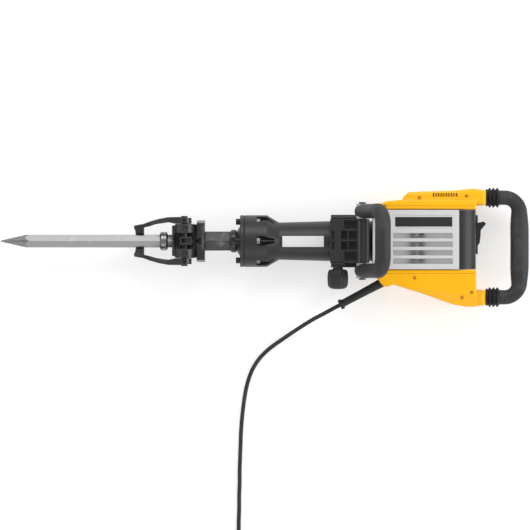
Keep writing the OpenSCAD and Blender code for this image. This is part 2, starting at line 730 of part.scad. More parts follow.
module side_handle_core() color("gray") at_axis() leaning() difference() {
    union() {
        side_bar(handle_bar_r, handle_bar_r, 0);
        both_y() bar_y(0, 0, leg_half - leg_r, leg_half + leg_r, 13);
    }
    bar_y(0, 0, -90, 90, pin_r + run_gap);
}

module side_grip() color("black") at_axis() leaning() difference() {
    union() {
        side_bar(leg_r, side_grip_r, 0);
        both_y() bar_y(0, 0, leg_half - leg_r, leg_half + leg_r, leg_r);
    }
    side_bar(handle_bar_r, handle_bar_r, 0);
    both_y() bar_y(0, 0, leg_half - leg_r - 1, leg_half + leg_r + 1, 13);
}

// ---------------------------------------------------------------- rear handle

module rear_bar(x0, arm_r, grip_r) {
    turn_x = rear_grip_x - elbow_r;
    translate([0, upper_arm_y, 0]) bar_x(x0, turn_x, arm_r);
    translate([0, lower_arm_y, 0]) bar_x(x0, turn_x, arm_r);
    elbow([turn_x, upper_arm_y - elbow_r, 0], 0, elbow_r, arm_r);
    elbow([turn_x, lower_arm_y + elbow_r, 0], -90, elbow_r, arm_r);
    bar_y(rear_grip_x, 0, lower_arm_y + elbow_r, upper_arm_y - elbow_r, grip_r);
}

module rear_handle_core() color("silver") at_axis() union() {
    rear_bar(452, handle_bar_r, handle_bar_r);
    for (y = [upper_arm_y, lower_arm_y]) translate([0, y, 0]) {
        bar_x(440, 453, spigot_r);
        bar_x(452, 453.5, 10);
    }
}

module rear_grip() color("black") at_axis() difference() {
    rear_bar(bellows_x[1], 16.5, rear_grip_r);
    rear_bar(bellows_x[1] - 1, handle_bar_r, handle_bar_r);
}

// Rubber gaiter with three folds
module gaiter() turned(concat([[bellows_x[0], 10.5]],
    [for (i = [0:24]) [bellows_x[0] + (bellows_x[1] - bellows_x[0]) * i / 24,
        20 - 2.2 * cos(360 * 3 * i / 24)]], [[bellows_x[1], 10.5]]));

module rear_bellows() color("black") at_axis() for (y = [upper_arm_y, lower_arm_y])
    translate([0, y, 0]) gaiter();

module handle_springs() color("silver") at_axis() for (y = [upper_arm_y, lower_arm_y])
    translate([0, y, 0]) swept([for (i = [0:50]) let (a = 36 * i)
        [427 + 24 * i / 50, 6.6 * cos(a), 6.6 * sin(a)]], 0.9, 6, [1, 0, 0]);

// ---------------------------------------------------------------- cord

// Frame at the sleeve's root, with Z along the sleeve
module sleeve_place() translate([sleeve_at[0], sleeve_at[1], 0]) rotate([0, 0, sleeve_angle])
    rotate([0, 90, 0]) children();

module cord_sleeve() color("black") at_axis() sleeve_place() translate([0, 0, -5])
    rotate_extrude() polygon([[0, 0], [10.1, 0], [9.6, 20], [8.3, sleeve_len - 3],
        [11.5, sleeve_len], [11.5, sleeve_len + 4], [8, sleeve_len + 5], [0, sleeve_len + 5]]);

module cord_run() color("black") { swept(RUN, cord_r, 8); swept(TAIL, cord_r, 8); }

module cord_coil() color("black") translate([coil_at[0], coil_at[1], 0]) rotate_extrude() union() {
    translate([coil_in_r, 0]) square([coil_out_r - coil_in_r, coil_height]);
    for (r = [coil_in_r, coil_out_r], i = [0:coil_layers - 1])
        translate([r, (i + 0.5) * coil_pitch]) circle(r = coil_pitch / 2);
}

module coil_tie() color("dimgray") translate([coil_at[0], coil_at[1], 0]) rotate([0, 0, 200])
    difference() {
        box([coil_in_r - 7, -9, 0], [coil_out_r + 7, 9, coil_height + 2]);
        box([coil_in_r - 4.9, -10, -1], [coil_out_r + 4.9, 10, coil_height]);
    }

module plug_body() color("black") translate([plug_at[0], plug_at[1], 0]) union() {
    translate([-16, 0, cord_r]) rotate([0, 90, 0]) cylinder(h = 16, r = cord_r);
    translate([-60, 0, 0]) linear_extrude(24) polygon([[0, -13], [0, 13], [34, 13], [46, 7],
        [46, -7], [34, -13]]);
}

module plug_pins() color("gold") translate([plug_at[0] - 60, plug_at[1], 0]) {
    for (y = [-7.1, 5.6]) box([-17, y, 12], [0, y + 1.5, 18.3]);
    translate([-20, 0, 6]) rotate([0, 90, 0]) cylinder(h = 20, r = 2.4);
}

chisel();
tool_holder();
retainer_bail();
retainer_pin();
retainer_bushes();
holder_nut();
front_cover();
flange_bolts();
flange_nuts();
barrel();
barrel_label();
hammer_tube();  // cylinder
damper_ring();
beat_piece();
ram();
piston();
con_rod();
con_rod_pins();
crankshaft();
crank_gear();
gear_case();
gear_plate();
gear_cover();
counter_shaft();
counter_gear();
bearings();
motor_shaft();
armature();
commutator();
fan();
stator();
field_windings();
motor_case();
brush_gear();
control_module();
upper_shell();
lower_shell();
side_panel_near();
side_panel_far();
rear_cover();
shell_screws();
switch_bezel();
rocker();
clamp_bracket();
clamp_band();
clamp_bolt();
clamp_knob();
side_handle_pin();
side_handle_core();
side_grip();
rear_handle_core();
rear_grip();
rear_bellows();
handle_springs();
cord_sleeve();
cord_run();
cord_coil();
coil_tie();
plug_body();
plug_pins();
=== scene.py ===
"""Electric demolition hammer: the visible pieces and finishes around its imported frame.

Sizes are in millimetres. X, Y and Z are counted from the hammer's axis unless a docstring says
otherwise, and HammerAxis turns them into the frame's metres.
"""

import logging
import math
from dataclasses import dataclass, field
from enum import Enum
from typing import Callable, Iterable, Optional, Sequence
import bmesh
import bpy
from mathutils import Matrix, Vector


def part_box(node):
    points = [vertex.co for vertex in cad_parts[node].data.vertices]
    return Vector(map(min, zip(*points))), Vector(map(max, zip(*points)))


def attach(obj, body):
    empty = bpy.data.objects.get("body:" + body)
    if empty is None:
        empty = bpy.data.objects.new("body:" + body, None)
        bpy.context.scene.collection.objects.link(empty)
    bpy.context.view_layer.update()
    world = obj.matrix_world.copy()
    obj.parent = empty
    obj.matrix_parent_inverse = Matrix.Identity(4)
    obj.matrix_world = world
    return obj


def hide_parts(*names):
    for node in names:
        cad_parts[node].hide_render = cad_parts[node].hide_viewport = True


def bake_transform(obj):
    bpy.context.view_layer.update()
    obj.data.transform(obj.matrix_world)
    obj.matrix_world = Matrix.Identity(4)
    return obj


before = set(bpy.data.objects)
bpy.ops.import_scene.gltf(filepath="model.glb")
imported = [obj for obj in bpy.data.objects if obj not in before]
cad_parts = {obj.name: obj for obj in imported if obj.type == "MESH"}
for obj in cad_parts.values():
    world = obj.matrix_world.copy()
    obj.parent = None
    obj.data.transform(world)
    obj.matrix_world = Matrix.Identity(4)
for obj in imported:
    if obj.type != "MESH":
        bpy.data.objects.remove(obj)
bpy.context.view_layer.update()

LOG = logging.getLogger("hammer")
MM = 0.001
SAME_PLACE = 1e-6
Point = tuple[float, float, float]
Outline = list[tuple[float, float]]
Colour = tuple[float, float, float]
Piece = bpy.types.Object
Socket = bpy.types.NodeSocket
Material = bpy.types.Material


# ---- shader maths


class Value:
    """A number that varies over a surface. Python's operators add its Math nodes."""

    def __init__(self, recipe: "Recipe", socket: Socket) -> None:
        """Wraps a socket of the recipe's tree."""
        self.recipe = recipe
        self.socket = socket

    def _math(self, operation: str, first: object, second: object) -> "Value":
        """Adds one Math node and returns its result."""
        node = self.recipe.node("Math", {"operation": operation}, {0: first, 1: second})
        return Value(self.recipe, node.outputs[0])

    def __add__(self, other: object) -> "Value":
        """self + other."""
        return self._math("ADD", self, other)

    __radd__ = __add__

    def __sub__(self, other: object) -> "Value":
        """self - other."""
        return self._math("SUBTRACT", self, other)

    def __rsub__(self, other: object) -> "Value":
        """other - self."""
        return self._math("SUBTRACT", other, self)

    def __mul__(self, other: object) -> "Value":
        """self * other."""
        return self._math("MULTIPLY", self, other)

    __rmul__ = __mul__

    def smooth(self, low: float, high: float) -> "Value":
        """Eases from 0 at low to 1 at high.

        Args:
            low: the value that gives 0.
            high: the value that gives 1.

        Returns:
            The eased value.
        """
        settings = {"interpolation_type": "SMOOTHSTEP"}
        inputs = {"Value": self, "From Min": low, "From Max": high}
        node = self.recipe.node("MapRange", settings, inputs)
        return Value(self.recipe, node.outputs["Result"])


class Recipe:
    """Node tree of one material, with its Principled shader."""

    def __init__(self, name: str) -> None:
        """Starts an empty material of that name."""
        self.material = bpy.data.materials.new(name)
        self.material.use_nodes = True
        self.tree = self.material.node_tree
        self.shader = next(n for n in self.tree.nodes if n.type == "BSDF_PRINCIPLED")
        self.place = self.node("TexCoord", {}, {}).outputs["Object"]

    @classmethod
    def of_tree(cls, tree: bpy.types.NodeTree) -> "Recipe":
        """Wraps a tree that has no Principled shader, such as the room's."""
        recipe = cls.__new__(cls)
        recipe.tree = tree
        return recipe

    def node(self, kind: str, settings: dict, inputs: dict) -> bpy.types.Node:
        """Adds a shader node.

        Args:
            kind: the node's type without its ShaderNode prefix.
            settings: properties that are set before the sockets.
            inputs: values or links of the sockets, by name or number.

        Returns:
            The node.
        """
        node = self.tree.nodes.new("ShaderNode" + kind)
        for key, value in settings.items():
            setattr(node, key, value)
        for key, value in inputs.items():
            self.feed(node.inputs[key], value)
        return node

    def feed(self, socket: Socket, value: object) -> None:
        """Links a Value or a socket to a socket, or sets a plain value on it."""
        if isinstance(value, Value):
            value = value.socket
        if isinstance(value, Socket):
            self.tree.links.new(value, socket)
        elif isinstance(value, tuple) and len(value) == 3 and socket.type == "RGBA":
            socket.default_value = (*value, 1.0)
        else:
            socket.default_value = value

    def stretched(self, scale: Point) -> Socket:
        """Object coordinates multiplied by a scale along each axis."""
        return self.node("Mapping", {}, {"Vector": self.place, "Scale": scale}).outputs["Vector"]

    def noise(self, scale: float, detail: float = 3.0, at: object = None) -> Value:
        """Cloudy noise.

        Args:
            scale: waves per metre.
            detail: octaves.
            at: coordinates, or None for the object's own.

        Returns:
            The noise, about 0.5.
        """
        inputs = {"Vector": at or self.place, "Scale": scale, "Detail": detail}
        return Value(self, self.node("TexNoise", {}, inputs).outputs[0])

    def cells(self, scale: float, at: object = None) -> Value:
        """Distance to the nearest point of a field of random points."""
        inputs = {"Vector": at or self.place, "Scale": scale}
        return Value(self, self.node("TexVoronoi", {}, inputs).outputs["Distance"])

    def mix(self, mask: object, low: object, high: object) -> Socket:
        """Colour between low, where the mask is 0, and high, where it is 1."""
        node = self.node("Mix", {"data_type": "RGBA"}, {0: mask, 6: low, 7: high})
        return node.outputs[2]

    def rounded_normal(self, radius: float) -> Socket:
        """Normal of the surface with its edges rounded by a radius in metres."""
        return self.node("Bevel", {"samples": 4}, {"Radius": radius}).outputs["Normal"]

    def edges(self, radius: float) -> Value:
        """1 on sharp edges and 0 on plain faces."""
        true = self.node("NewGeometry", {}, {}).outputs["Normal"]
        round_normal = self.rounded_normal(radius)
        dot = self.node("VectorMath", {"operation": "DOT_PRODUCT"}, {0: true, 1: round_normal})
        return (1.0 - Value(self, dot.outputs["Value"])).smooth(0.02, 0.25)

    def bump(self, height: Value, depth: float, base: object = None) -> None:
        """Raises the surface by a height times a depth in metres."""
        inputs = {"Height": height, "Distance": depth, "Strength": 1.0}
        if base is not None:
            inputs["Normal"] = base
        node = self.node("Bump", {}, inputs)
        self.feed(self.shader.inputs["Normal"], node.outputs["Normal"])

    def finish(self, **sockets: object) -> Material:
        """Sets the shader's sockets, named with underscores for spaces, and gives the material."""
        for key, value in sockets.items():
            self.feed(self.shader.inputs[key.replace("_", " ")], value)
        return self.material


# ---- finishes


@dataclass(frozen=True)
class Moulded:
    """Moulded plastic with a fine spark-eroded grain and slight scuffs on its edges."""

    name: str
    colour: Colour
    scuffed: Colour
    roughness: float = 0.45
    grain_depth: float = 0.00004
    edge_radius: float = 0.0012
    mottle: float = 0.16

    def material(self) -> Material:
        """Builds the material."""
        recipe = Recipe(self.name)
        clouds = recipe.noise(9.0, 4.0)
        grain = recipe.noise(1400.0, 2.0)
        shade = tuple(c * (1.0 - self.mottle) for c in self.colour)
        body = recipe.mix(clouds.smooth(0.3, 0.7), shade, self.colour)
        scuffs = recipe.edges(self.edge_radius) * recipe.noise(60.0, 5.0).smooth(0.45, 0.7) * 0.6
        recipe.bump(grain, self.grain_depth, recipe.rounded_normal(self.edge_radius))
        return recipe.finish(
            Base_Color=recipe.mix(scuffs, body, self.scuffed),
            Roughness=self.roughness + clouds * 0.12 - 0.06,
            Specular_IOR_Level=0.32,
        )


@dataclass(frozen=True)
class SoftRubber:
    """Overmoulded rubber with a leathery stipple and a dusty bloom."""

    name: str
    colour: Colour
    bloom: Colour
    roughness: float = 0.5
    stipple: float = 520.0
    depth: float = 0.00018

    def material(self) -> Material:
        """Builds the material."""
        recipe = Recipe(self.name)
        dots = recipe.cells(self.stipple)
        dust = recipe.noise(26.0, 6.0).smooth(0.4, 0.75)
        recipe.bump(dots, self.depth)
        return recipe.finish(
            Base_Color=recipe.mix(dust, self.colour, self.bloom),
            Roughness=self.roughness + dust * 0.14,
            Specular_IOR_Level=0.3,
        )


@dataclass(frozen=True)
class PaintedCasting:
    """Powder-coated die casting: orange peel, rubbed edges and a few bare specks."""

    name: str
    colour: Colour
    rubbed: Colour
    roughness: float = 0.38
    peel_depth: float = 0.00009
    edge_radius: float = 0.0014

    def material(self) -> Material:
        """Builds the material."""
        recipe = Recipe(self.name)
        peel = recipe.noise(420.0, 2.0)
        clouds = recipe.noise(14.0, 5.0)
        rub = recipe.edges(self.edge_radius) * recipe.noise(90.0, 4.0).smooth(0.35, 0.65)
        specks = recipe.noise(700.0, 1.0).smooth(0.74, 0.8) * clouds.smooth(0.5, 0.7)
        recipe.bump(peel, self.peel_depth, recipe.rounded_normal(self.edge_radius))
        return recipe.finish(
            Base_Color=recipe.mix(rub * 0.7 + specks * 0.5, self.colour, self.rubbed),
            Roughness=self.roughness + clouds * 0.16 - 0.06,
            Specular_IOR_Level=0.34,
        )


@dataclass(frozen=True)
class Metal:
    """Bare or blackened metal, with machining streaks along one axis and mottled roughness."""

    name: str
    colour: Colour
    worn: Colour
    roughness: float = 0.3
    streaks: Point = (6.0, 900.0, 900.0)
    streak_depth: float = 0.00002
    metallic: float = 1.0
    edge_radius: float = 0.0008

    def material(self) -> Material:
        """Builds the material."""
        recipe = Recipe(self.name)
        lines = recipe.noise(1.0, 3.0, recipe.stretched(self.streaks))
        clouds = recipe.noise(38.0, 5.0)
        wear = recipe.edges(self.edge_radius) * 0.8 + clouds.smooth(0.55, 0.8) * 0.35
        recipe.bump(lines, self.streak_depth, recipe.rounded_normal(self.edge_radius))
        return recipe.finish(
            Base_Color=recipe.mix(wear, self.colour, self.worn),
            Metallic=self.metallic,
            Roughness=self.roughness + lines * 0.12 + clouds * 0.1 - 0.1,
        )


@dataclass(frozen=True)
class Windings:
    """Enamelled wire laid side by side along an axis."""

    name: str
    colour: Colour
    gap: Colour
    wires: Point = (0.0, 0.0, 1.0)

    def material(self) -> Material:
        """Builds the material."""
        recipe = Recipe(self.name)
        at = recipe.stretched(self.wires)
        wave = recipe.node("TexWave", {"bands_direction": "Z"}, {"Vector": at, "Scale": 180.0})
        ridge = Value(recipe, wave.outputs[0])
        recipe.bump(ridge, 0.0003)
        return recipe.finish(
            Base_Color=recipe.mix(ridge.smooth(0.1, 0.5), self.gap, self.colour),
            Metallic=0.7,
            Roughness=0.3 + recipe.noise(50.0) * 0.2,
        )


class Finish(Enum):
    """Every finish on the hammer."""

    YELLOW = Moulded("yellow_shell_finish", (0.89, 0.43, 0.002), (0.95, 0.58, 0.06), 0.4, mottle=0.05)
    BLACK_PLASTIC = Moulded("black_plastic_finish", (0.023, 0.023, 0.024), (0.08, 0.08, 0.08), 0.38)
    IVORY = Moulded("fan_finish", (0.62, 0.58, 0.46), (0.75, 0.72, 0.62), 0.5)
    GREEN = Moulded("circuit_finish", (0.02, 0.12, 0.05), (0.05, 0.2, 0.09), 0.4)
    WHITE = Moulded("blank_label_finish", (0.66, 0.66, 0.655), (0.5, 0.5, 0.5), 0.35, mottle=0.04)
    GRIP = SoftRubber("grip_rubber_finish", (0.024, 0.024, 0.0255), (0.045, 0.045, 0.047))
    BELLOWS = SoftRubber("bellows_rubber_finish", (0.009, 0.009, 0.0095), (0.02, 0.02, 0.021), 0.45)
    CORD = SoftRubber("cord_rubber_finish", (0.018, 0.018, 0.018), (0.036, 0.036, 0.036), 0.48,
                      900.0, 0.00008)
    CASTING = PaintedCasting("black_casting_finish", (0.024, 0.024, 0.0245), (0.11, 0.11, 0.112))
    GREY_CASTING = PaintedCasting("bare_casting_finish", (0.36, 0.36, 0.37), (0.6, 0.6, 0.61), 0.5)
    FORGING = Metal("black_forging_finish", (0.045, 0.045, 0.046), (0.3, 0.3, 0.305), 0.32,
                    (160.0, 160.0, 160.0), 0.00018, 0.6, 0.0014)
    CHISEL = Metal("ground_steel_finish", (0.25, 0.25, 0.248), (0.4, 0.4, 0.395), 0.36)
    BRIGHT = Metal("zinc_finish", (0.6, 0.61, 0.62), (0.8, 0.8, 0.8), 0.22, (300.0, 300.0, 300.0))
    NUT = Metal("dull_zinc_finish", (0.17, 0.17, 0.175), (0.45, 0.45, 0.455), 0.4,
                (300.0, 300.0, 300.0))
    BLACK_SCREW = Metal("black_screw_finish", (0.03, 0.03, 0.032), (0.25, 0.25, 0.25), 0.3,
                        (300.0, 300.0, 300.0))
    TUBE = Metal("honed_steel_finish", (0.4, 0.41, 0.43), (0.6, 0.6, 0.62), 0.2)
    LAMINATION = Metal("lamination_finish", (0.22, 0.22, 0.23), (0.4, 0.4, 0.41), 0.4,
                       (10.0, 1600.0, 10.0), 0.0001)
    BRONZE = Metal("bronze_finish", (0.5, 0.33, 0.13), (0.7, 0.5, 0.25), 0.35, (200.0, 200.0, 200.0))
    BRASS = Metal("brass_finish", (0.68, 0.5, 0.22), (0.85, 0.7, 0.4), 0.25, (300.0, 300.0, 300.0))
    SILVER = Metal("silver_panel_finish", (0.63, 0.63, 0.633), (0.75, 0.75, 0.75), 0.4,
                   (8.0, 700.0, 700.0), 0.000012, 0.3, 0.0010)
    MIRROR = Metal("louvre_finish", (0.86, 0.87, 0.87), (0.9, 0.9, 0.9), 0.07,
                   (4.0, 500.0, 500.0), 0.000003, 1.0, 0.0004)
    COPPER = Windings("copper_finish", (0.6, 0.26, 0.1), (0.1, 0.04, 0.02))


class Paintbox:
    """Builds each finish's material once and puts it on pieces."""

    def __init__(self) -> None:
        """Starts with no materials."""
        self.made: dict[Finish, Material] = {}

    def coat(self, piece: Piece, finish: Finish) -> None:
        """Gives a piece one finish all over."""
        if finish not in self.made:
            self.made[finish] = finish.value.material()
        piece.data.materials.clear()
        piece.data.materials.append(self.made[finish])


PAINT = Paintbox()


# ---- shapes


@dataclass(frozen=True)
class HammerAxis:
    """Place of the hammer's axis in the frame, in metres."""

    y: float
    z: float

    @staticmethod
    def of_frame() -> "HammerAxis":
        """Finds the axis from the hammer tube, which is centred on it."""
        low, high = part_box("cylinder")
        return HammerAxis((low.y + high.y) / 2, (low.z + high.z) / 2)

    def matrix(self) -> Matrix:
        """Turns millimetres from the axis into the frame's metres."""
        return Matrix.Translation((0.0, self.y, self.z)) @ Matrix.Scale(MM, 4)


AXIS = HammerAxis.of_frame()


def mesh_object(
    name: str, points: Sequence, faces: Sequence, to_frame: Optional[Matrix] = None
) -> Piece:
    """Makes a smooth-shaded object.

    Args:
        name: the piece's name.
        points: its vertices.
        faces: its faces, as lists of vertex numbers.
        to_frame: what turns the points into the frame, or None for millimetres from the axis.

    Returns:
        The object, at the frame's origin.
    """
    mesh = bpy.data.meshes.new(name)
    mesh.from_pydata([tuple(p) for p in points], [], [tuple(f) for f in faces])
    mesh.transform(AXIS.matrix() if to_frame is None else to_frame)
    mesh.validate()
    piece = bpy.data.objects.new(name, mesh)
    bpy.context.scene.collection.objects.link(piece)
    face_outward(piece)
    shade(piece)
    return piece


def face_outward(piece: Piece, merge: bool = False) -> None:
    """Turns every face outward, and first merges vertices on one place if asked."""
    work = bmesh.new()
    work.from_mesh(piece.data)
    if merge:
        bmesh.ops.remove_doubles(work, verts=work.verts, dist=SAME_PLACE)
    bmesh.ops.recalc_face_normals(work, faces=work.faces)
    work.to_mesh(piece.data)
    work.free()


def shade(piece: Piece, crease: float = 35.0) -> None:
    """Shades a piece smooth, apart from edges sharper than crease degrees."""
    mesh = piece.data
    mesh.shade_smooth()
    mesh.set_sharp_from_angle(angle=math.radians(crease))


def settle(piece: Piece) -> None:
    """Applies a piece's modifiers to its mesh."""
    graph = bpy.context.evaluated_depsgraph_get()
    made = bpy.data.meshes.new_from_object(piece.evaluated_get(graph))
    old, piece.data = piece.data, made
    piece.modifiers.clear()
    bpy.data.meshes.remove(old)


def carve(piece: Piece, tools: Iterable[Piece], how: str) -> None:
    """Joins tools to a piece or cuts them out of it, and removes the tools.

    Args:
        piece: what is changed.
        tools: closed objects.
        how: UNION, DIFFERENCE or INTERSECT.
    """
    tools = list(tools)
    for tool in tools:
        modifier = piece.modifiers.new("carve", "BOOLEAN")
        modifier.operation, modifier.object, modifier.solver = how, tool, "EXACT"
    settle(piece)
    for tool in tools:
        bpy.data.objects.remove(tool)


def soften(piece: Piece, grain: float, passes: int) -> None:
    """Rounds every edge as on a casting, by an even remesh and a light smoothing.

    Args:
        piece: a closed object.
        grain: the remesh's spacing in millimetres.
        passes: smoothing passes, each of which rounds edges a little more.
    """
    remesh = piece.modifiers.new("even", "REMESH")
    remesh.mode, remesh.voxel_size = "VOXEL", grain * MM
    smooth = piece.modifiers.new("round", "SMOOTH")
    smooth.factor, smooth.iterations = 0.5, passes
    settle(piece)
    piece.data.shade_smooth()


def softened_node(node: str, name: str, grain: float, passes: int) -> Piece:
    """Makes a softened copy of a CAD node, which stands for it."""
    piece = bpy.data.objects.new(name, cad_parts[node].data.copy())
    bpy.context.scene.collection.objects.link(piece)
    face_outward(piece, merge=True)
    soften(piece, grain, passes)
    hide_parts(node)
    return piece


def rounded(corners: Sequence[tuple], inset: float = 0.0, steps: int = 6) -> Outline:
    """Rounds an outline's corners, after drawing the outline inward.

    Args:
        corners: (x, y) or (x, y, radius) in order round the outline.
        inset: how far every side moves inward.
        steps: points along each rounding.

    Returns:
        The outline's points, as many whatever the inset.
    """
    count = len(corners)
    places = [Vector(corner[:2]) for corner in corners]
    area = sum(places[i - 1].x * p.y - p.x * places[i - 1].y for i, p in enumerate(places))
    side = 1.0 if area > 0 else -1.0
    out: Outline = []
    for i, here in enumerate(places):
        back = (places[i - 1] - here).normalized()
        ahead = (places[(i + 1) % count] - here).normalized()
        convex = side * (ahead.x * back.y - ahead.y * back.x) > 0
        half = math.acos(max(-1.0, min(1.0, back.dot(ahead)))) / 2
        inward = (back + ahead).normalized() if half < 1.57 else Vector((-ahead.y, ahead.x)) * side
        if half < 1.57 and not convex:
            inward = -inward
        here = here + inward * (inset / math.sin(half))
        radius = corners[i][2] if len(corners[i]) > 2 else 0.6
        radius = max(radius - inset, 0.4) if convex else radius + inset
        reach = radius / math.tan(half)
        start, end = here + back * reach, here + ahead * reach
        for k in range(steps + 1):
            t = k / steps
            out.append(tuple(start * (1 - t) ** 2 + here * 2 * t * (1 - t) + end * t * t))
    return out


def loft(name: str, points: Sequence, sides: int, to_frame: Optional[Matrix] = None) -> Piece:
    """Skins rings of points, one after another, and caps the first and the last.

    Args:
        name: the piece's name.
        points: the rings' points, ring by ring.
        sides: points in each ring.
        to_frame: what turns the points into the frame, or None for millimetres from the axis.

    Returns:
        The object, closed.
    """
    faces = []
    for first in range(0, len(points) - sides, sides):
        for k in range(sides):
            a, b = first + k, first + (k + 1) % sides
            faces.append([a, b, b + sides, a + sides])
    faces.append(list(range(sides))[::-1])
    faces.append(list(range(len(points) - sides, len(points))))
    return mesh_object(name, points, faces, to_frame)


def pillow(name: str, corners: Sequence[tuple], low: float, high: float, edge: float) -> Piece:
    """Extrudes a rounded outline from low to high along its own Z, with its rims rounded.

    Args:
        name: the piece's name.
        corners: (x, y, radius) round the outline.
        low: Z of the bottom.
        high: Z of the top.
        edge: radius of both rims.

    Returns:
        The object, closed.
    """
    steps = 6
    quarter = [k / steps * math.pi / 2 for k in range(steps + 1)]
    rings = [(edge * (1 - math.sin(q)), low + edge * (1 - math.cos(q))) for q in quarter]
    rings += [(edge * (1 - math.cos(q)), high - edge * (1 - math.sin(q))) for q in quarter]
    points = [Vector((x, y, z)) for inset, z in rings for x, y in rounded(corners, inset)]
    return loft(name, points, len(points) // len(rings))


def prism(
    name: str, outline: Outline, low: float, high: float, turn: Optional[Matrix] = None
) -> Piece:
    """Extrudes an outline from low to high along its own Z, after which turn places it."""
    points = [Vector((x, y, z)) for z in (low, high) for x, y in outline]
    if turn is not None:
        points = [turn @ p for p in points]
    return loft(name, points, len(outline))


def block(name: str, low: Point, high: Point) -> Piece:
    """Box between two corners."""
    outline = [(low[0], low[1]), (high[0], low[1]), (high[0], high[1]), (low[0], high[1])]
    return prism(name, outline, low[2], high[2])


def turned(
    name: str,
    profile: Sequence[tuple[float, float]],
    place: Matrix,
    sides: int = 64,
    flute: Optional[Callable[[float, float], float]] = None,
) -> Piece:
    """Turns a profile about its own Z.

    Args:
        name: the piece's name.
        profile: (height, radius) points from one end to the other.
        place: where the turned piece goes, in millimetres from the hammer's axis.
        sides: points round the piece.
        flute: radius multiplier by angle in radians and by height.

    Returns:
        The object, closed at both ends.
    """
    points = []
    for height, radius in profile:
        for k in range(sides):
            angle = 2 * math.pi * k / sides
            r = radius * (flute(angle, height) if flute else 1.0)
            points.append(place @ Vector((r * math.cos(angle), r * math.sin(angle), height)))
    return loft(name, points, sides)


def along_x(x: float, y: float = 0.0, z: float = 0.0) -> Matrix:
    """Placement that turns a piece's own Z into X, from a point on."""
    return Matrix.Translation((x, y, z)) @ Matrix.Rotation(math.pi / 2, 4, "Y")


def flipped(sign: int) -> Matrix:
    """Mirrors Z when the sign is -1."""
    return Matrix.Diagonal((1.0, 1.0, float(sign), 1.0))


def turn_corners(corners: Sequence[Point], bend: float, step: float = 4.0) -> list[Vector]:
    """Follows straight runs between corners, with an arc of radius bend at each inner corner.

    Args:
        corners: the path's ends and corners, in order.
        bend: radius of every arc.
        step: spacing of the points.

    Returns:
        Points along the path.
    """
    corners = [Vector(c) for c in corners]
    path = [corners[0]]
    for before, here, after in zip(corners, corners[1:], corners[2:]):
        back, ahead = (before - here).normalized(), (after - here).normalized()
        half = back.angle(ahead) / 2
        reach = bend / math.tan(half)
        centre = here + (back + ahead).normalized() * (bend / math.sin(half))
        start, end = here + back * reach - centre, here + ahead * reach - centre
        arc = start.angle(end)
        count = max(4, round(arc * bend / step))
        for k in range(count + 1):
            t = k / count
            spoke = start * math.sin((1 - t) * arc) + end * math.sin(t * arc)
            path.append(centre + spoke / math.sin(arc))
    path.append(corners[-1])
    out = [path[0]]
    for a, b in zip(path, path[1:]):
        count = max(1, round((b - a).length / step))
        out += [a.lerp(b, k / count) for k in range(1, count + 1) if (b - a).length > 1e-6]
    return out


def tube(
    name: str,
    path: Sequence[Vector],
    section: Callable[[float], tuple[float, float]],
    across: Vector,
    sides: int = 32,
    square: float = 1.0,
    to_frame: Optional[Matrix] = None,
) -> Piece:
    """Sweeps an oval section along a path, with rounded ends.

    Args:
        name: the piece's name.
        path: points of the centreline.
        section: half sizes across and the other way, by the share of the path from 0 to 1.
        across: direction of the first half size, which the path never takes.
        sides: points round the section.
        square: power that makes the oval squarer, 1 for an ellipse.
        to_frame: what turns the points into the frame, or None for millimetres from the axis.

    Returns:
        The object, closed at both ends.
    """
    lengths = [0.0]
    for a, b in zip(path, path[1:]):
        lengths.append(lengths[-1] + (b - a).length)
    points = []
    for i, centre in enumerate(path):
        ahead = (path[min(i + 1, len(path) - 1)] - path[max(i - 1, 0)]).normalized()
        side = (across - ahead * across.dot(ahead)).normalized()
        other = ahead.cross(side)
        wide, high = section(lengths[i] / lengths[-1])
        for k in range(sides):
            c, s = math.cos(2 * math.pi * k / sides), math.sin(2 * math.pi * k / sides)
            c = math.copysign(abs(c) ** square, c)
            s = math.copysign(abs(s) ** square, s)
            points.append(centre + side * (wide * c) + other * (high * s))
    return loft(name, points, sides, to_frame)


def dress(piece: Piece, finish: Finish, body: str) -> Piece:
    """Coats a new piece, rides it on a body, and returns it."""
    PAINT.coat(piece, finish)
    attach(piece, body)
    LOG.info("%s rides on %s", piece.name, body)
    return piece


# ---- studio


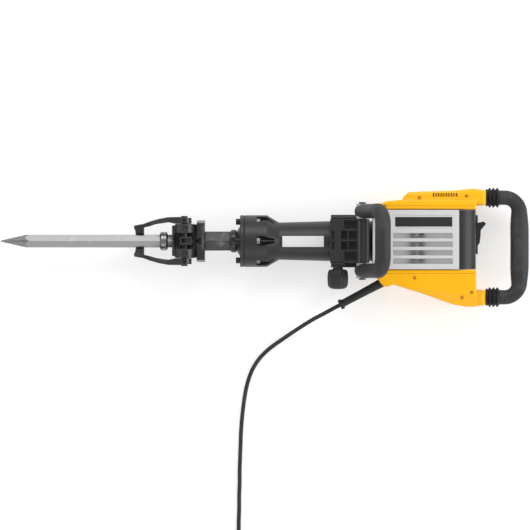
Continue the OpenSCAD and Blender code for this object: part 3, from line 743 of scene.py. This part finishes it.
@dataclass
class Studio:
    """Pale floor, soft lights and the camera straight over the hammer."""

    distance: float = 12.0
    picture_width: float = 1.166
    sideways: float = -0.0386
    floor_half: float = 6.0
    floor_glow: float = 0.5
    sky_level: float = 1.12
    zenith_level: float = 0.42
    gap_lean: float = 0.031
    gap_inner: tuple[float, float] = (0.000004, 0.00004)
    gap_outer: tuple[float, float] = (0.0004, 0.0008)
    horizon_level: float = 0.3
    dim_from: float = 0.7
    dim_to: float = 0.93
    key: float = 38.0
    fill: float = 10.0
    end: float = 34.0

    def camera(self) -> None:
        """Places the camera over the middle of the picture, looking straight down."""
        lens = bpy.data.cameras.new("camera")
        lens.sensor_width = 36.0
        lens.lens = lens.sensor_width * self.distance / self.picture_width
        eye = bpy.data.objects.new("camera", lens)
        eye.location = (0.0, self.sideways, AXIS.z + self.distance)
        bpy.context.scene.collection.objects.link(eye)
        bpy.context.scene.camera = eye

    def floor(self) -> None:
        """Lays a pale matt floor, which glows a little like a light table."""
        h = self.floor_half
        corners = [(-h, -h, 0.0), (h, -h, 0.0), (h, h, 0.0), (-h, h, 0.0)]
        floor = mesh_object("floor", corners, [[0, 1, 2, 3]], Matrix.Identity(4))
        recipe = Recipe("floor_finish")
        tone = recipe.noise(3.0, 2.0)
        pale = recipe.mix(tone, (0.54, 0.54, 0.54), (0.56, 0.56, 0.56))
        recipe.finish(Base_Color=pale, Roughness=0.9, Specular_IOR_Level=0.1,
                      Emission_Color=(1.0, 1.0, 1.0), Emission_Strength=self.floor_glow)
        floor.data.materials.append(recipe.material)

    def light(self, name: str, at: Point, size: tuple[float, float], watts: float) -> None:
        """Hangs a soft panel light that faces the hammer."""
        lamp = bpy.data.lights.new(name, "AREA")
        lamp.shape, lamp.size, lamp.size_y, lamp.energy = "RECTANGLE", size[0], size[1], watts
        holder = bpy.data.objects.new(name, lamp)
        holder.location = at
        aim = Vector((0.1, 0.0, 0.1)) - Vector(at)
        holder.rotation_euler = aim.to_track_quat("-Z", "Y").to_euler()
        bpy.context.scene.collection.objects.link(holder)

    def sky(self) -> None:
        """Lights the room from all sides, dimmer overhead and low down, with two dark gaps."""
        world = bpy.data.worlds.new("studio")
        world.use_nodes = True
        tree = world.node_tree
        sky = Recipe.of_tree(tree)
        way = sky.node("SeparateXYZ", {}, {"Vector": sky.node("TexCoord", {}, {}).outputs["Generated"]})
        along = Value(sky, way.outputs["X"])
        up = Value(sky, way.outputs["Z"])
        aside = along - self.gap_lean
        across = aside * aside
        overhead = up.smooth(self.dim_from, self.dim_to)
        gap = across.smooth(*self.gap_inner) * (1.0 - across.smooth(*self.gap_outer))
        level = self.sky_level - overhead * (self.sky_level - self.zenith_level)
        level = level - (1.0 - up.smooth(0.1, 0.35)) * (self.sky_level - self.horizon_level)
        level = level * (1.0 - gap * up.smooth(0.9, 0.97) * 0.95)
        sky.feed(tree.nodes["Background"].inputs["Strength"], level)
        tree.nodes["Background"].inputs["Color"].default_value = (1.0, 1.0, 1.0, 1.0)
        bpy.context.scene.world = world

    def lights(self) -> None:
        """Hangs a key light on the vent side, a weaker fill opposite and one past the rear handle."""
        self.light("key", (0.2, 2.2, 2.0), (3.0, 1.2), self.key)
        self.light("fill", (-0.2, -2.4, 2.0), (3.0, 1.2), self.fill)
        self.light("end", (3.0, 0.0, 1.6), (1.0, 2.4), self.end)
        self.sky()
        bpy.context.scene.view_settings.view_transform = "Standard"
        bpy.context.scene.view_settings.look = "None"

    def build(self) -> None:
        """Sets up the whole studio."""
        self.camera()
        self.floor()
        self.lights()


# ---- mains cord


@dataclass
class MainsCord:
    """Rubber cord, in metres in the frame: a drop to the floor, a curve, a coil and its plug."""

    diameter: float = 0.009
    pitch: float = 0.0093
    turns: int = 3
    layers: int = 4
    coil_at: tuple[float, float] = (-0.126, -0.716)
    middle: float = 0.054
    points_per_turn: int = 24
    length: float = 4.9
    run: list = field(default_factory=lambda: [
        (0.164, -0.127, 0.058), (0.147, -0.136, 0.057), (0.129, -0.146, 0.052),
        (0.110, -0.156, 0.042), (0.092, -0.167, 0.029), (0.075, -0.178, 0.017),
        (0.057, -0.190, 0.009), (0.038, -0.203, 0.005), (0.018, -0.217, 0.0045),
        (0.000, -0.232, 0.0045), (-0.016, -0.250, 0.0045), (-0.029, -0.272, 0.0045),
        (-0.038, -0.297, 0.0045), (-0.044, -0.324, 0.0045), (-0.048, -0.352, 0.0045),
        (-0.051, -0.380, 0.0045), (-0.053, -0.408, 0.0045), (-0.054, -0.436, 0.0045),
        (-0.055, -0.464, 0.0045), (-0.056, -0.492, 0.0045), (-0.056, -0.520, 0.0045),
        (-0.057, -0.548, 0.0045), (-0.057, -0.576, 0.0045), (-0.058, -0.604, 0.0045),
        (-0.058, -0.632, 0.0045), (-0.058, -0.660, 0.0045), (-0.058, -0.688, 0.0045)])
    tail: list = field(default_factory=lambda: [
        (-0.058, -0.734, 0.032), (-0.060, -0.752, 0.029), (-0.065, -0.769, 0.023),
        (-0.075, -0.785, 0.016), (-0.090, -0.797, 0.009), (-0.107, -0.804, 0.0055),
        (-0.120, -0.807, 0.0045)])

    def coil(self) -> list[Vector]:
        """Winds the coil inward and outward by turns, one layer on another."""
        half = self.turns * self.pitch / 2
        ramp = 1 / 10
        out = []
        count = self.turns * self.layers * self.points_per_turn
        for i in range(count + 1):
            turn = i / self.points_per_turn
            layer = min(self.layers - 1, int(turn / self.turns))
            share = turn / self.turns - layer
            inward = layer % 2 == 0
            radius = self.middle + half * (1 - 2 * share) * (1 if inward else -1)
            rise = layer + self.ease((share * self.turns - self.turns + ramp) / (2 * ramp))
            if layer:
                rise -= 1 - self.ease((share * self.turns + ramp) / (2 * ramp))
            rise = min(rise, self.layers - 1)
            angle = -2 * math.pi * turn
            x = self.coil_at[0] + radius * math.cos(angle)
            y = self.coil_at[1] + radius * math.sin(angle)
            out.append(Vector((x, y, self.diameter / 2 + self.pitch * rise)))
        return out

    @staticmethod
    def ease(t: float) -> float:
        """Eases from 0 to 1 as t goes from 0 to 1."""
        t = max(0.0, min(1.0, t))
        return t * t * (3 - 2 * t)

    @staticmethod
    def smoothed(points: Sequence[Vector], parts: int = 4) -> list[Vector]:
        """Runs a smooth curve through points."""
        out = []
        for i in range(len(points) - 1):
            a, b = points[max(i - 1, 0)], points[i]
            c, d = points[i + 1], points[min(i + 2, len(points) - 1)]
            for k in range(parts):
                t = k / parts
                out.append(0.5 * (2 * b + (c - a) * t + (2 * a - 5 * b + 4 * c - d) * t * t
                                  + (3 * b - a - 3 * c + d) * t ** 3))
        return out + [points[-1]]

    def sleeve(self) -> Piece:
        """Long tapered strain relief with a collar at its end."""
        low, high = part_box("cord_sleeve")
        root = Matrix.Translation((254.0, -93.0, 0.0)) @ Matrix.Rotation(math.radians(208), 4, "Z")
        place = root @ Matrix.Rotation(math.pi / 2, 4, "Y") @ Matrix.Translation((0, 0, -5))
        profile = [(0.0, 9.6), (0.6, 10.0), (8.0, 9.9), (30.0, 9.2), (60.0, 8.7), (94.0, 8.3),
                   (97.5, 8.5), (98.6, 9.6), (99.4, 11.0), (100.4, 11.5), (104.4, 11.5),
                   (105.6, 11.1), (106.6, 9.4), (107.0, 7.4), (107.0, 5.0)]
        piece = turned("cord_strain_relief", profile, place, 48)
        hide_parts("cord_sleeve")
        LOG.info("strain relief spans %s to %s", tuple(low), tuple(high))
        return dress(piece, Finish.CORD, "root")

    def plug(self) -> Piece:
        """Moulded plug body that swells from the cord to a gripped block."""
        low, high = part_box("plug_body")
        y = (low.y + high.y) / 2
        stations = [(0.0, 4.9, 4.7, 4.7), (0.1, 5.6, 5.2, 5.2), (0.2, 6.4, 5.8, 5.9),
                    (0.32, 9.0, 8.2, 8.4), (0.4, 12.4, 11.2, 11.3), (0.46, 12.9, 11.9, 11.95),
                    (0.56, 12.2, 11.3, 11.9), (0.66, 12.9, 11.9, 11.95), (0.76, 12.2, 11.3, 11.9),
                    (0.86, 12.9, 11.9, 11.95), (0.97, 12.8, 11.8, 11.9), (1.0, 11.6, 10.8, 11.9)]
        span = high.x - low.x
        path, sizes = [], []
        for share, wide, tall, rise in stations:
            path.append(Vector((high.x - span * share, y, rise * MM)))
            sizes.append((wide * MM, tall * MM))
        reach = [0.0]
        for a, b in zip(path, path[1:]):
            reach.append(reach[-1] + (b - a).length)

        def section(share: float) -> tuple[float, float]:
            """Half sizes at a share of the plug's length."""
            at = min(range(len(reach)), key=lambda i: abs(reach[i] / reach[-1] - share))
            return sizes[at]

        piece = tube("plug_moulding", path, section, Vector((0, 1, 0)), 40, 0.62, Matrix.Identity(4))
        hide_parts("plug_body")
        return dress(piece, Finish.CORD, "root")

    def build(self) -> None:
        run = [Vector(p) for p in self.run]
        coil = self.coil()
        tail = [Vector(p) for p in self.tail]
        path = self.smoothed(run + [coil[0]]) + coil[1:-1] + self.smoothed([coil[-1]] + tail)
        curve = bpy.data.curves.new("mains_cord", "CURVE")
        curve.dimensions = "3D"
        curve.bevel_depth, curve.bevel_resolution = self.diameter / 2, 4
        curve.use_fill_caps = True
        spline = curve.splines.new("POLY")
        spline.points.add(len(path) - 1)
        for point, place in zip(spline.points, path):
            point.co = (*place, 1.0)
        cord = bpy.data.objects.new("mains_cord", curve)
        bpy.context.scene.collection.objects.link(cord)
        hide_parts("cord_run", "cord_coil")
        dress(cord, Finish.CORD, "root")
        laid = sum((b - a).length for a, b in zip(path, path[1:]))
        LOG.info("cord laid %.3f m of %.3f m", laid, self.length)
        sleeve, plug = self.sleeve(), self.plug()


# ---- front end


@dataclass
class FrontEnd:
    """Tool holder, latch retainer, flange and barrel: forged and cast pieces from the frame."""

    grain: float = 1.1
    hinge_x: float = -177.0
    pin_y: float = 46.0
    pin_r: float = 2.4

    def build(self) -> None:
        """Softens the forgings and castings and dresses them."""
        holder = softened_node("tool_holder", "tool_holder_forging", self.grain, 4)
        nose = prism("nose_chevron", [(-202, -10), (-190.5, 0), (-202, 10)], 12, 31)
        carve(holder, [nose], "UNION")
        notch = prism("neck_notch", [(-153, 0), (-131, -19), (-131, 19)], 24.5, 70)
        carve(holder, [notch], "DIFFERENCE")
        dress(holder, Finish.FORGING, "root")
        bail = softened_node("retainer_bail", "retainer_forging", 0.9, 5)
        dress(bail, Finish.FORGING, "retainer")
        top = (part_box("retainer_bail")[1].z - AXIS.z) / MM
        for sign, side in ((1, "plus"), (-1, "minus")):
            place = Matrix.Translation((self.hinge_x, sign * self.pin_y, 0))
            profile = [(15, self.pin_r), (top - 2.5, self.pin_r), (top - 1.2, 1.6), (top - 0.8, 0.3)]
            pin = turned(f"roll_pin_{side}", profile, place, 20)
            dress(pin, Finish.BRIGHT, "retainer")
        barrel = softened_node("barrel", "barrel_casting", 1.4, 3)
        dress(barrel, Finish.CASTING, "root")
        cover = softened_node("front_cover", "front_cover_casting", 1.2, 2)
        dress(cover, Finish.CASTING, "root")


# ---- side handle


@dataclass
class SideHandle:
    """Clamp, knob and looped rubber handle that turn about the barrel."""

    pivot: tuple[float, float] = (213.0, 52.0)
    lean: float = 19.5
    reach: float = 128.0
    leg_half: float = 65.0
    leg_r: float = 16.4
    grip_r: float = 17.2
    bend: float = 31.0
    knob_at: tuple[float, float] = (159.5, 52.0)
    knob_flutes: int = 12

    def clamp(self) -> None:
        """Softens the two cast halves of the clamp."""
        bracket = softened_node("clamp_bracket", "clamp_bracket_casting", 1.1, 3)
        dress(bracket, Finish.CASTING, "side_clamp")
        band = softened_node("clamp_band", "clamp_band_casting", 1.2, 3)
        dress(band, Finish.CASTING, "side_clamp")

    def grip(self) -> None:
        """Rubber loop, thicker along the part that is held."""
        lean = math.radians(self.lean)
        up = Vector((math.sin(lean), 0.0, math.cos(lean)))
        root = Vector((self.pivot[0], 0.0, self.pivot[1]))
        side = Vector((0.0, self.leg_half, 0.0))
        cap = self.leg_r - 1.0
        corners = [root + side - up * cap, root + side + up * self.reach,
                   root - side + up * self.reach, root - side - up * cap]
        path = turn_corners(corners, self.bend)
        total = sum((b - a).length for a, b in zip(path, path[1:]))

        def section(share: float) -> tuple[float, float]:
            """Half sizes along the loop, with domed ends."""
            end = min(share, 1 - share) * total
            swell = self.leg_r + (self.grip_r - self.leg_r) * MainsCord.ease((end - 80) / 50)
            dome = 1.0 if end > 14 else 0.45 + 0.55 * math.sqrt(max(0.0, 1 - (1 - end / 14) ** 2))
            return swell * dome, swell * dome * 0.98

        across = Vector((math.cos(lean), 0.0, -math.sin(lean)))
        piece = tube("side_handle_rubber", path, section, across, 40)
        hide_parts("side_grip")
        dress(piece, Finish.GRIP, "side_handle")

    def knob(self) -> None:
        """Fluted barrel-shaped knob on its neck."""
        profile = [(0.0, 8.0), (0.4, 11.0), (8.0, 11.0), (8.8, 12.4), (9.6, 17.6), (11.5, 20.6),
                   (16.0, 22.3), (24.0, 23.2), (34.0, 23.2), (42.0, 22.4), (46.0, 21.0),
                   (49.0, 18.6), (51.0, 15.0), (52.3, 9.0), (52.6, 3.0)]

        def flute(angle: float, height: float) -> float:
            """Scallops round the body, which fade out at its ends."""
            body = MainsCord.ease((height - 10) / 5) * (1 - MainsCord.ease((height - 45) / 6))
            return 1.0 - 0.075 * body * (0.5 + 0.5 * math.cos(self.knob_flutes * angle)) ** 2

        top = (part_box("clamp_knob")[1].y - AXIS.y) / MM
        place = Matrix.Translation((self.knob_at[0], top, self.knob_at[1]))
        place = place @ Matrix.Rotation(math.pi / 2, 4, "X")
        piece = turned("clamp_knob_moulding", profile, place, 144, flute)
        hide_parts("clamp_knob")
        dress(piece, Finish.BLACK_PLASTIC, "clamp_knob")

    def build(self) -> None:
        """Builds the whole side handle."""
        self.clamp()
        self.grip()
        self.knob()


# ---- motor housing


@dataclass
class MotorHousing:
    """Yellow shells, rear cover and the silver panels' trim."""

    depth: float = 54.6
    wall: float = 4.0
    hump_depth: float = 46.0
    rear: float = 463.0
    arm_y: tuple[float, float] = (95.5, -123.5)
    grain: float = 1.4
    screws: list = field(default_factory=list)
    streak_x: float = 335.0
    bow: float = 1250.0
    louvre_x: tuple[float, float] = (280.4, 410.6)
    louvre_y: float = 5.9
    louvre_pitch: float = 18.6
    louvre_height: float = 11.2
    louvre_floor: float = 55.2

    def boss(self, x: float, y: float, depth: float, sign: int) -> Piece:
        """Solid round boss under a shell screw."""
        profile = [(depth - 16, 7.5), (depth - 1.5, 7.5)]
        return turned("boss", profile, Matrix.Translation((x, y, 0)) @ flipped(sign), 32)

    def sink_screws(self, piece: Piece, seats: Sequence[tuple]) -> None:
        """Counterbores a shell for its screws, at (x, y, depth), and puts the screws in."""
        cutters = []
        for x, y, depth in seats:
            for sign in (1, -1):
                place = Matrix.Translation((x, y, 0)) @ flipped(sign)
                seat = [(depth - 3.2, 3.4), (depth - 1.2, 3.9), (depth + 4, 8.5)]
                cutters.append(turned("seat", seat, place, 32))
                screw = [(depth - 8, 1.6), (depth - 2.8, 2.6), (depth - 2.2, 2.2),
                         (depth - 2.2, 1.0), (depth - 3.4, 0.9)]
                self.screws.append(turned("screw", screw, place, 24))
        carve(piece, cutters, "DIFFERENCE")

    def complete(self, shell: Piece, node: str, seats: Sequence[tuple], groove_y: float,
                 arm_y: float, cuts: list) -> None:
        """Adds a shell's bosses, softens it, makes its last cuts and dresses it.

        Args:
            shell: the shell so far.
            node: the CAD node that it stands for.
            seats: (x, y, depth) of its screws.
            groove_y: lower side of the groove along each flank.
            arm_y: Y of the handle arm's bore.
            cuts: other closed objects to cut out.
        """
        carve(shell, [self.boss(x, y, z, s) for x, y, z in seats for s in (1, -1)], "UNION")
        soften(shell, self.grain, 5)
        for low in (self.depth - 0.9, -self.depth - 9.1):
            cuts.append(block("groove", (250, groove_y, low), (460, groove_y + 1, low + 10)))
        cuts.append(turned("bore", [(0, 8.3), (110, 8.3)], along_x(400, arm_y), 32))
        carve(shell, cuts, "DIFFERENCE")
        self.sink_screws(shell, seats)
        shade(shell, 40)
        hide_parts(node)
        dress(shell, Finish.YELLOW, "root")

    def upper(self) -> None:
        """Upper shell: a rail beside the panels, a narrower vented hump and an arm socket."""
        d, h, w = self.depth, self.hump_depth, self.wall
        rail = [(245, 68.4, 0.5), (245, 80, 5), (266, 87.5, 10), (300, 90.5, 20),
                (self.rear, 90.5, 3), (self.rear, 68.4, 0.5)]
        shell = pillow("upper_shell_moulding", rail, -d, d, 5.0)
        hump = [(300, 82, 2), (304, 97, 8), (315, 107.6, 8), (345, 108.8, 30), (410, 110.6, 30),
                (457, 115.3, 16), (470, 113, 12), (484.6, 111.6, 2), (484.6, 79.4, 2), (468, 77.6, 3),
                (460, 82, 2)]
        lump = pillow("hump", hump, -h, h, 8.0)
        socket = pillow("socket", [(456, 79.4, 2), (456, 112, 2), (484.6, 111.6, 2),
                                   (484.6, 79.4, 2)], -22, 22, 12.0)
        carve(shell, [lump, socket], "UNION")
        inner = [(318, 80, 2), (322, 102.5, 3), (410, 106, 3), (455, 109, 3), (455, 82, 2)]
        carve(shell, [block("hollow", (249, 50, w - d), (self.rear - w, 85, d - w)),
                      pillow("inner", inner, w - h, h - w, 2.0)], "DIFFERENCE")
        slots = [block("slot", (368 + 5.6 * i, 97.2, low), (370.8 + 5.6 * i, 105.2, low + 40))
                 for i in range(10) for low in (30, -70)]
        seats = [(338, 94, h), (441, 98, h), (262, 76, d)]
        self.complete(shell, "upper_shell", seats, 76.6, self.arm_y[0], slots)

    def lower(self) -> None:
        """Lower shell: a deep belly that slopes back to the lower arm socket."""
        d = self.depth
        belly = [(246, -62.4, 0.5), (246, -80, 3), (250, -87.5, 4), (259.5, -98.8, 4), (267, -101, 5),
                 (281, -95.6, 12), (336, -112, 25), (414, -139.4, 20), (440, -144, 25),
                 (self.rear, -144, 3), (self.rear, -62.4, 0.5)]
        shell = pillow("lower_shell_moulding", belly, -d, d, 4.0)
        wedges = []
        for sign in (1, -1):
            leaning = Matrix(((0, 0, 1, 0), (0, 1, -0.11, 0.11 * 235), (sign, 0, 0, 0), (0, 0, 0, 1)))
            section = [(90, -180), (90, -88), (d + 2.5, -88), (d - 24, -158), (d - 24, -180)]
            wedges.append(prism("wedge", section, 235, 470, leaning))
        carve(shell, wedges, "DIFFERENCE")
        socket = [(440, -105.5, 2), (484.6, -107.6, 2), (484.6, -140.6, 2), (462, -144, 6),
                  (440, -142, 2)]
        carve(shell, [pillow("socket", socket, -26, 26, 12.0)], "UNION")
        inner = [(252, -50, 1), (252, -79, 3), (264, -94, 3), (281, -90.5, 6), (336, -107, 6),
                 (414, -134, 6), (440, -138, 6), (458, -138, 2), (458, -50, 1)]
        carve(shell, [pillow("inner", inner, -42, 42, 2.0)], "DIFFERENCE")
        root = Matrix.Translation((254.0, -93.0, 0.0)) @ Matrix.Rotation(math.radians(208), 4, "Z")
        way_out = root @ Matrix.Rotation(math.pi / 2, 4, "Y")
        mouth = turned("mouth", [(-12, 10.2), (30, 10.2)], way_out, 40)
        seats = [(327, -81, d), (431, -125, d - 3.3), (452, -113, d)]
        self.complete(shell, "lower_shell", seats, -71.6, self.arm_y[1], [mouth])

    def join_screws(self) -> None:
        """Makes the sunk screws one piece."""
        first, rest = self.screws[0], self.screws[1:]
        carve(first, rest, "UNION")
        first.name = "shell_screw_heads"
        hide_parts("shell_screws")
        dress(first, Finish.BRASS, "root")

    def rear_cover(self) -> None:
        """Black cover that curves round the motor's back."""
        half, flat, wall = 55.6, 24.0, 3.5
        low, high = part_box("rear_cover")
        front, back = low.x / MM, high.x / MM

        def skin(inset: float) -> Outline:
            """Half-round section in X and Z, drawn in by an inset."""
            out = []
            for sign in (1, -1):
                arc = []
                for k in range(13):
                    t = k / 12 * math.pi / 2
                    x = front + (back - front - inset) * math.sin(t)
                    z = flat + (half - flat - inset) * math.cos(t)
                    arc.append((x, sign * z))
                out += arc if sign > 0 else arc[::-1]
            return out

        outline = skin(0.0) + skin(wall)[::-1]
        turn = Matrix(((1, 0, 0, 0), (0, 0, 1, 0), (0, 1, 0, 0), (0, 0, 0, 1)))
        piece = prism("rear_cover_moulding", outline, -61.8, 67.8, turn)
        carve(piece, [block("window", (445, -26, -13), (470, 54, 13))], "DIFFERENCE")
        shade(piece, 40)
        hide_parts("rear_cover")
        dress(piece, Finish.BLACK_PLASTIC, "root")

    def louvres(self) -> None:
        """Polished strip bowed along X in each louvre of both panels, and a plain badge field."""
        for side, sign in (("near", 1), ("far", -1)):
            for i in range(4):
                low_y = self.louvre_y - self.louvre_pitch * i
                front, back = self.louvre_x
                points = []
                count = 48
                for k in range(count + 1):
                    x = front + (back - front) * k / count
                    dip = self.louvre_floor + (x - self.streak_x) ** 2 / (2 * self.bow)
                    points += [(x, low_y, sign * dip), (x, low_y + self.louvre_height, sign * dip)]
                faces = [[2 * k, 2 * k + 2, 2 * k + 3, 2 * k + 1] for k in range(count)]
                if sign < 0:
                    faces = [f[::-1] for f in faces]
                strip = mesh_object(f"louvre_{side}_{i + 1}", points, faces)
                thick = strip.modifiers.new("sheet", "SOLIDIFY")
                thick.thickness, thick.offset = 0.4 * MM, -1
                settle(strip)
                shade(strip)
                dress(strip, Finish.MIRROR, "root")
            z = sorted((sign * 57.9, sign * 58.3))
            badge = block(f"blank_badge_{side}", (285, 31.5, z[0]), (410, 52.5, z[1]))
            dress(badge, Finish.BLACK_PLASTIC, "root")

    def build(self) -> None:
        """Builds the whole housing."""
        self.upper()
        self.lower()
        self.join_screws()
        self.rear_cover()
        self.louvres()


# ---- rear handle


@dataclass
class RearHandle:
    """Sprung D handle and its two rubber bellows."""

    start: float = 516.0
    grip_x: float = 560.0
    arm_y: tuple[float, float] = (95.5, -123.5)
    bend: float = 31.0
    arm_r: float = 16.0

    def grip(self) -> None:
        """Rubber grip that swells and bows out a little at its middle."""
        corners = [(self.start, self.arm_y[0], 0), (self.grip_x, self.arm_y[0], 0),
                   (self.grip_x, self.arm_y[1], 0), (self.start, self.arm_y[1], 0)]
        path = turn_corners(corners, self.bend)
        middle = (self.arm_y[0] + self.arm_y[1]) / 2
        half = (self.arm_y[0] - self.arm_y[1]) / 2
        for point in path:
            if point.x > self.grip_x - self.bend:
                point.x -= 1.6 * min(1.0, abs(point.y - middle) / half) ** 2
        total = sum((b - a).length for a, b in zip(path, path[1:]))

        def section(share: float) -> tuple[float, float]:
            """Half sizes along the handle."""
            end = min(share, 1 - share) * total
            swell = MainsCord.ease((end - 30) / 70)
            return self.arm_r + 1.0 * swell, self.arm_r + 4.3 * swell

        piece = tube("rear_handle_rubber", path, section, Vector((0, 0, 1)), 40)
        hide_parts("rear_grip")
        dress(piece, Finish.GRIP, "rear_handle")

    def bellows(self, name: str, y: float) -> Piece:
        """Rubber bellows with a plain cuff and three sharp folds."""
        low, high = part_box("rear_bellows")
        first, last = low.x / MM, high.x / MM
        profile = [(0.0, 12.0), (0.2, 18.2), (1.0, 19.0), (3.6, 19.0), (4.6, 18.2)]
        folds, start = 3, 5.0
        step = (last - first - start - 1.0) / folds
        for i in range(folds):
            base = start + i * step
            profile += [(base + step * t, 17.4 + 4.9 * math.sin(math.pi * t) ** 1.6)
                        for t in (0.08, 0.2, 0.32, 0.42, 0.5, 0.58, 0.68, 0.8, 0.92)]
        profile += [(last - first - 0.6, 17.2), (last - first, 16.4), (last - first, 12.0)]
        return turned(name, profile, along_x(first, y, 0), 56)

    def build(self) -> None:
        """Builds the handle and its two bellows between housing and handle."""
        self.grip()
        for name, y in zip(("upper_bellows_rubber", "lower_bellows_rubber"), self.arm_y):
            piece = self.bellows(name, y)
            PAINT.coat(piece, Finish.BELLOWS)
            if y == self.arm_y[0]:
                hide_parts("rear_bellows")
            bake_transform(piece)


# ---- carried nodes

NODE_FINISHES = {
    Finish.CHISEL: ["chisel"],
    Finish.FORGING: ["holder_nut"],
    Finish.NUT: ["flange_nuts"],
    Finish.BRIGHT: ["con_rod_pins", "bearings", "clamp_bolt",
                    "rear_handle_core", "handle_springs"],
    Finish.BRONZE: ["retainer_bushes"],
    Finish.BLACK_SCREW: ["flange_bolts", "side_handle_pin", "retainer_pin"],
    Finish.WHITE: ["barrel_label"],
    Finish.TUBE: ["cylinder", "beat_piece", "ram", "crankshaft", "crank_gear", "counter_shaft",
                  "counter_gear", "motor_shaft"],
    Finish.GREY_CASTING: ["piston", "con_rod", "gear_case", "gear_plate", "gear_cover",
                          "side_handle_core"],
    Finish.LAMINATION: ["armature", "stator"],
    Finish.COPPER: ["commutator", "field_windings"],
    Finish.IVORY: ["fan"],
    Finish.GREEN: ["control_module"],
    Finish.BRASS: ["brush_gear", "plug_pins"],
    Finish.SILVER: ["side_panel_near", "side_panel_far"],
    Finish.BLACK_PLASTIC: ["motor_case", "switch_bezel", "rocker", "coil_tie"],
    Finish.BELLOWS: ["damper_ring"],
}


def dress_nodes() -> None:
    """Puts a finish on every CAD node that shows as it is."""
    for finish, nodes in NODE_FINISHES.items():
        for node in nodes:
            PAINT.coat(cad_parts[node], finish)
            LOG.info("%s has %s", node, finish.name)


def main() -> None:
    """Builds the studio and every sub-assembly in order."""
    logging.basicConfig(level=logging.INFO, format="%(name)s: %(message)s")
    Studio().build()
    MainsCord().build()
    FrontEnd().build()
    SideHandle().build()
    MotorHousing().build()
    RearHandle().build()
    dress_nodes()


if __name__ == "__main__":
    main()
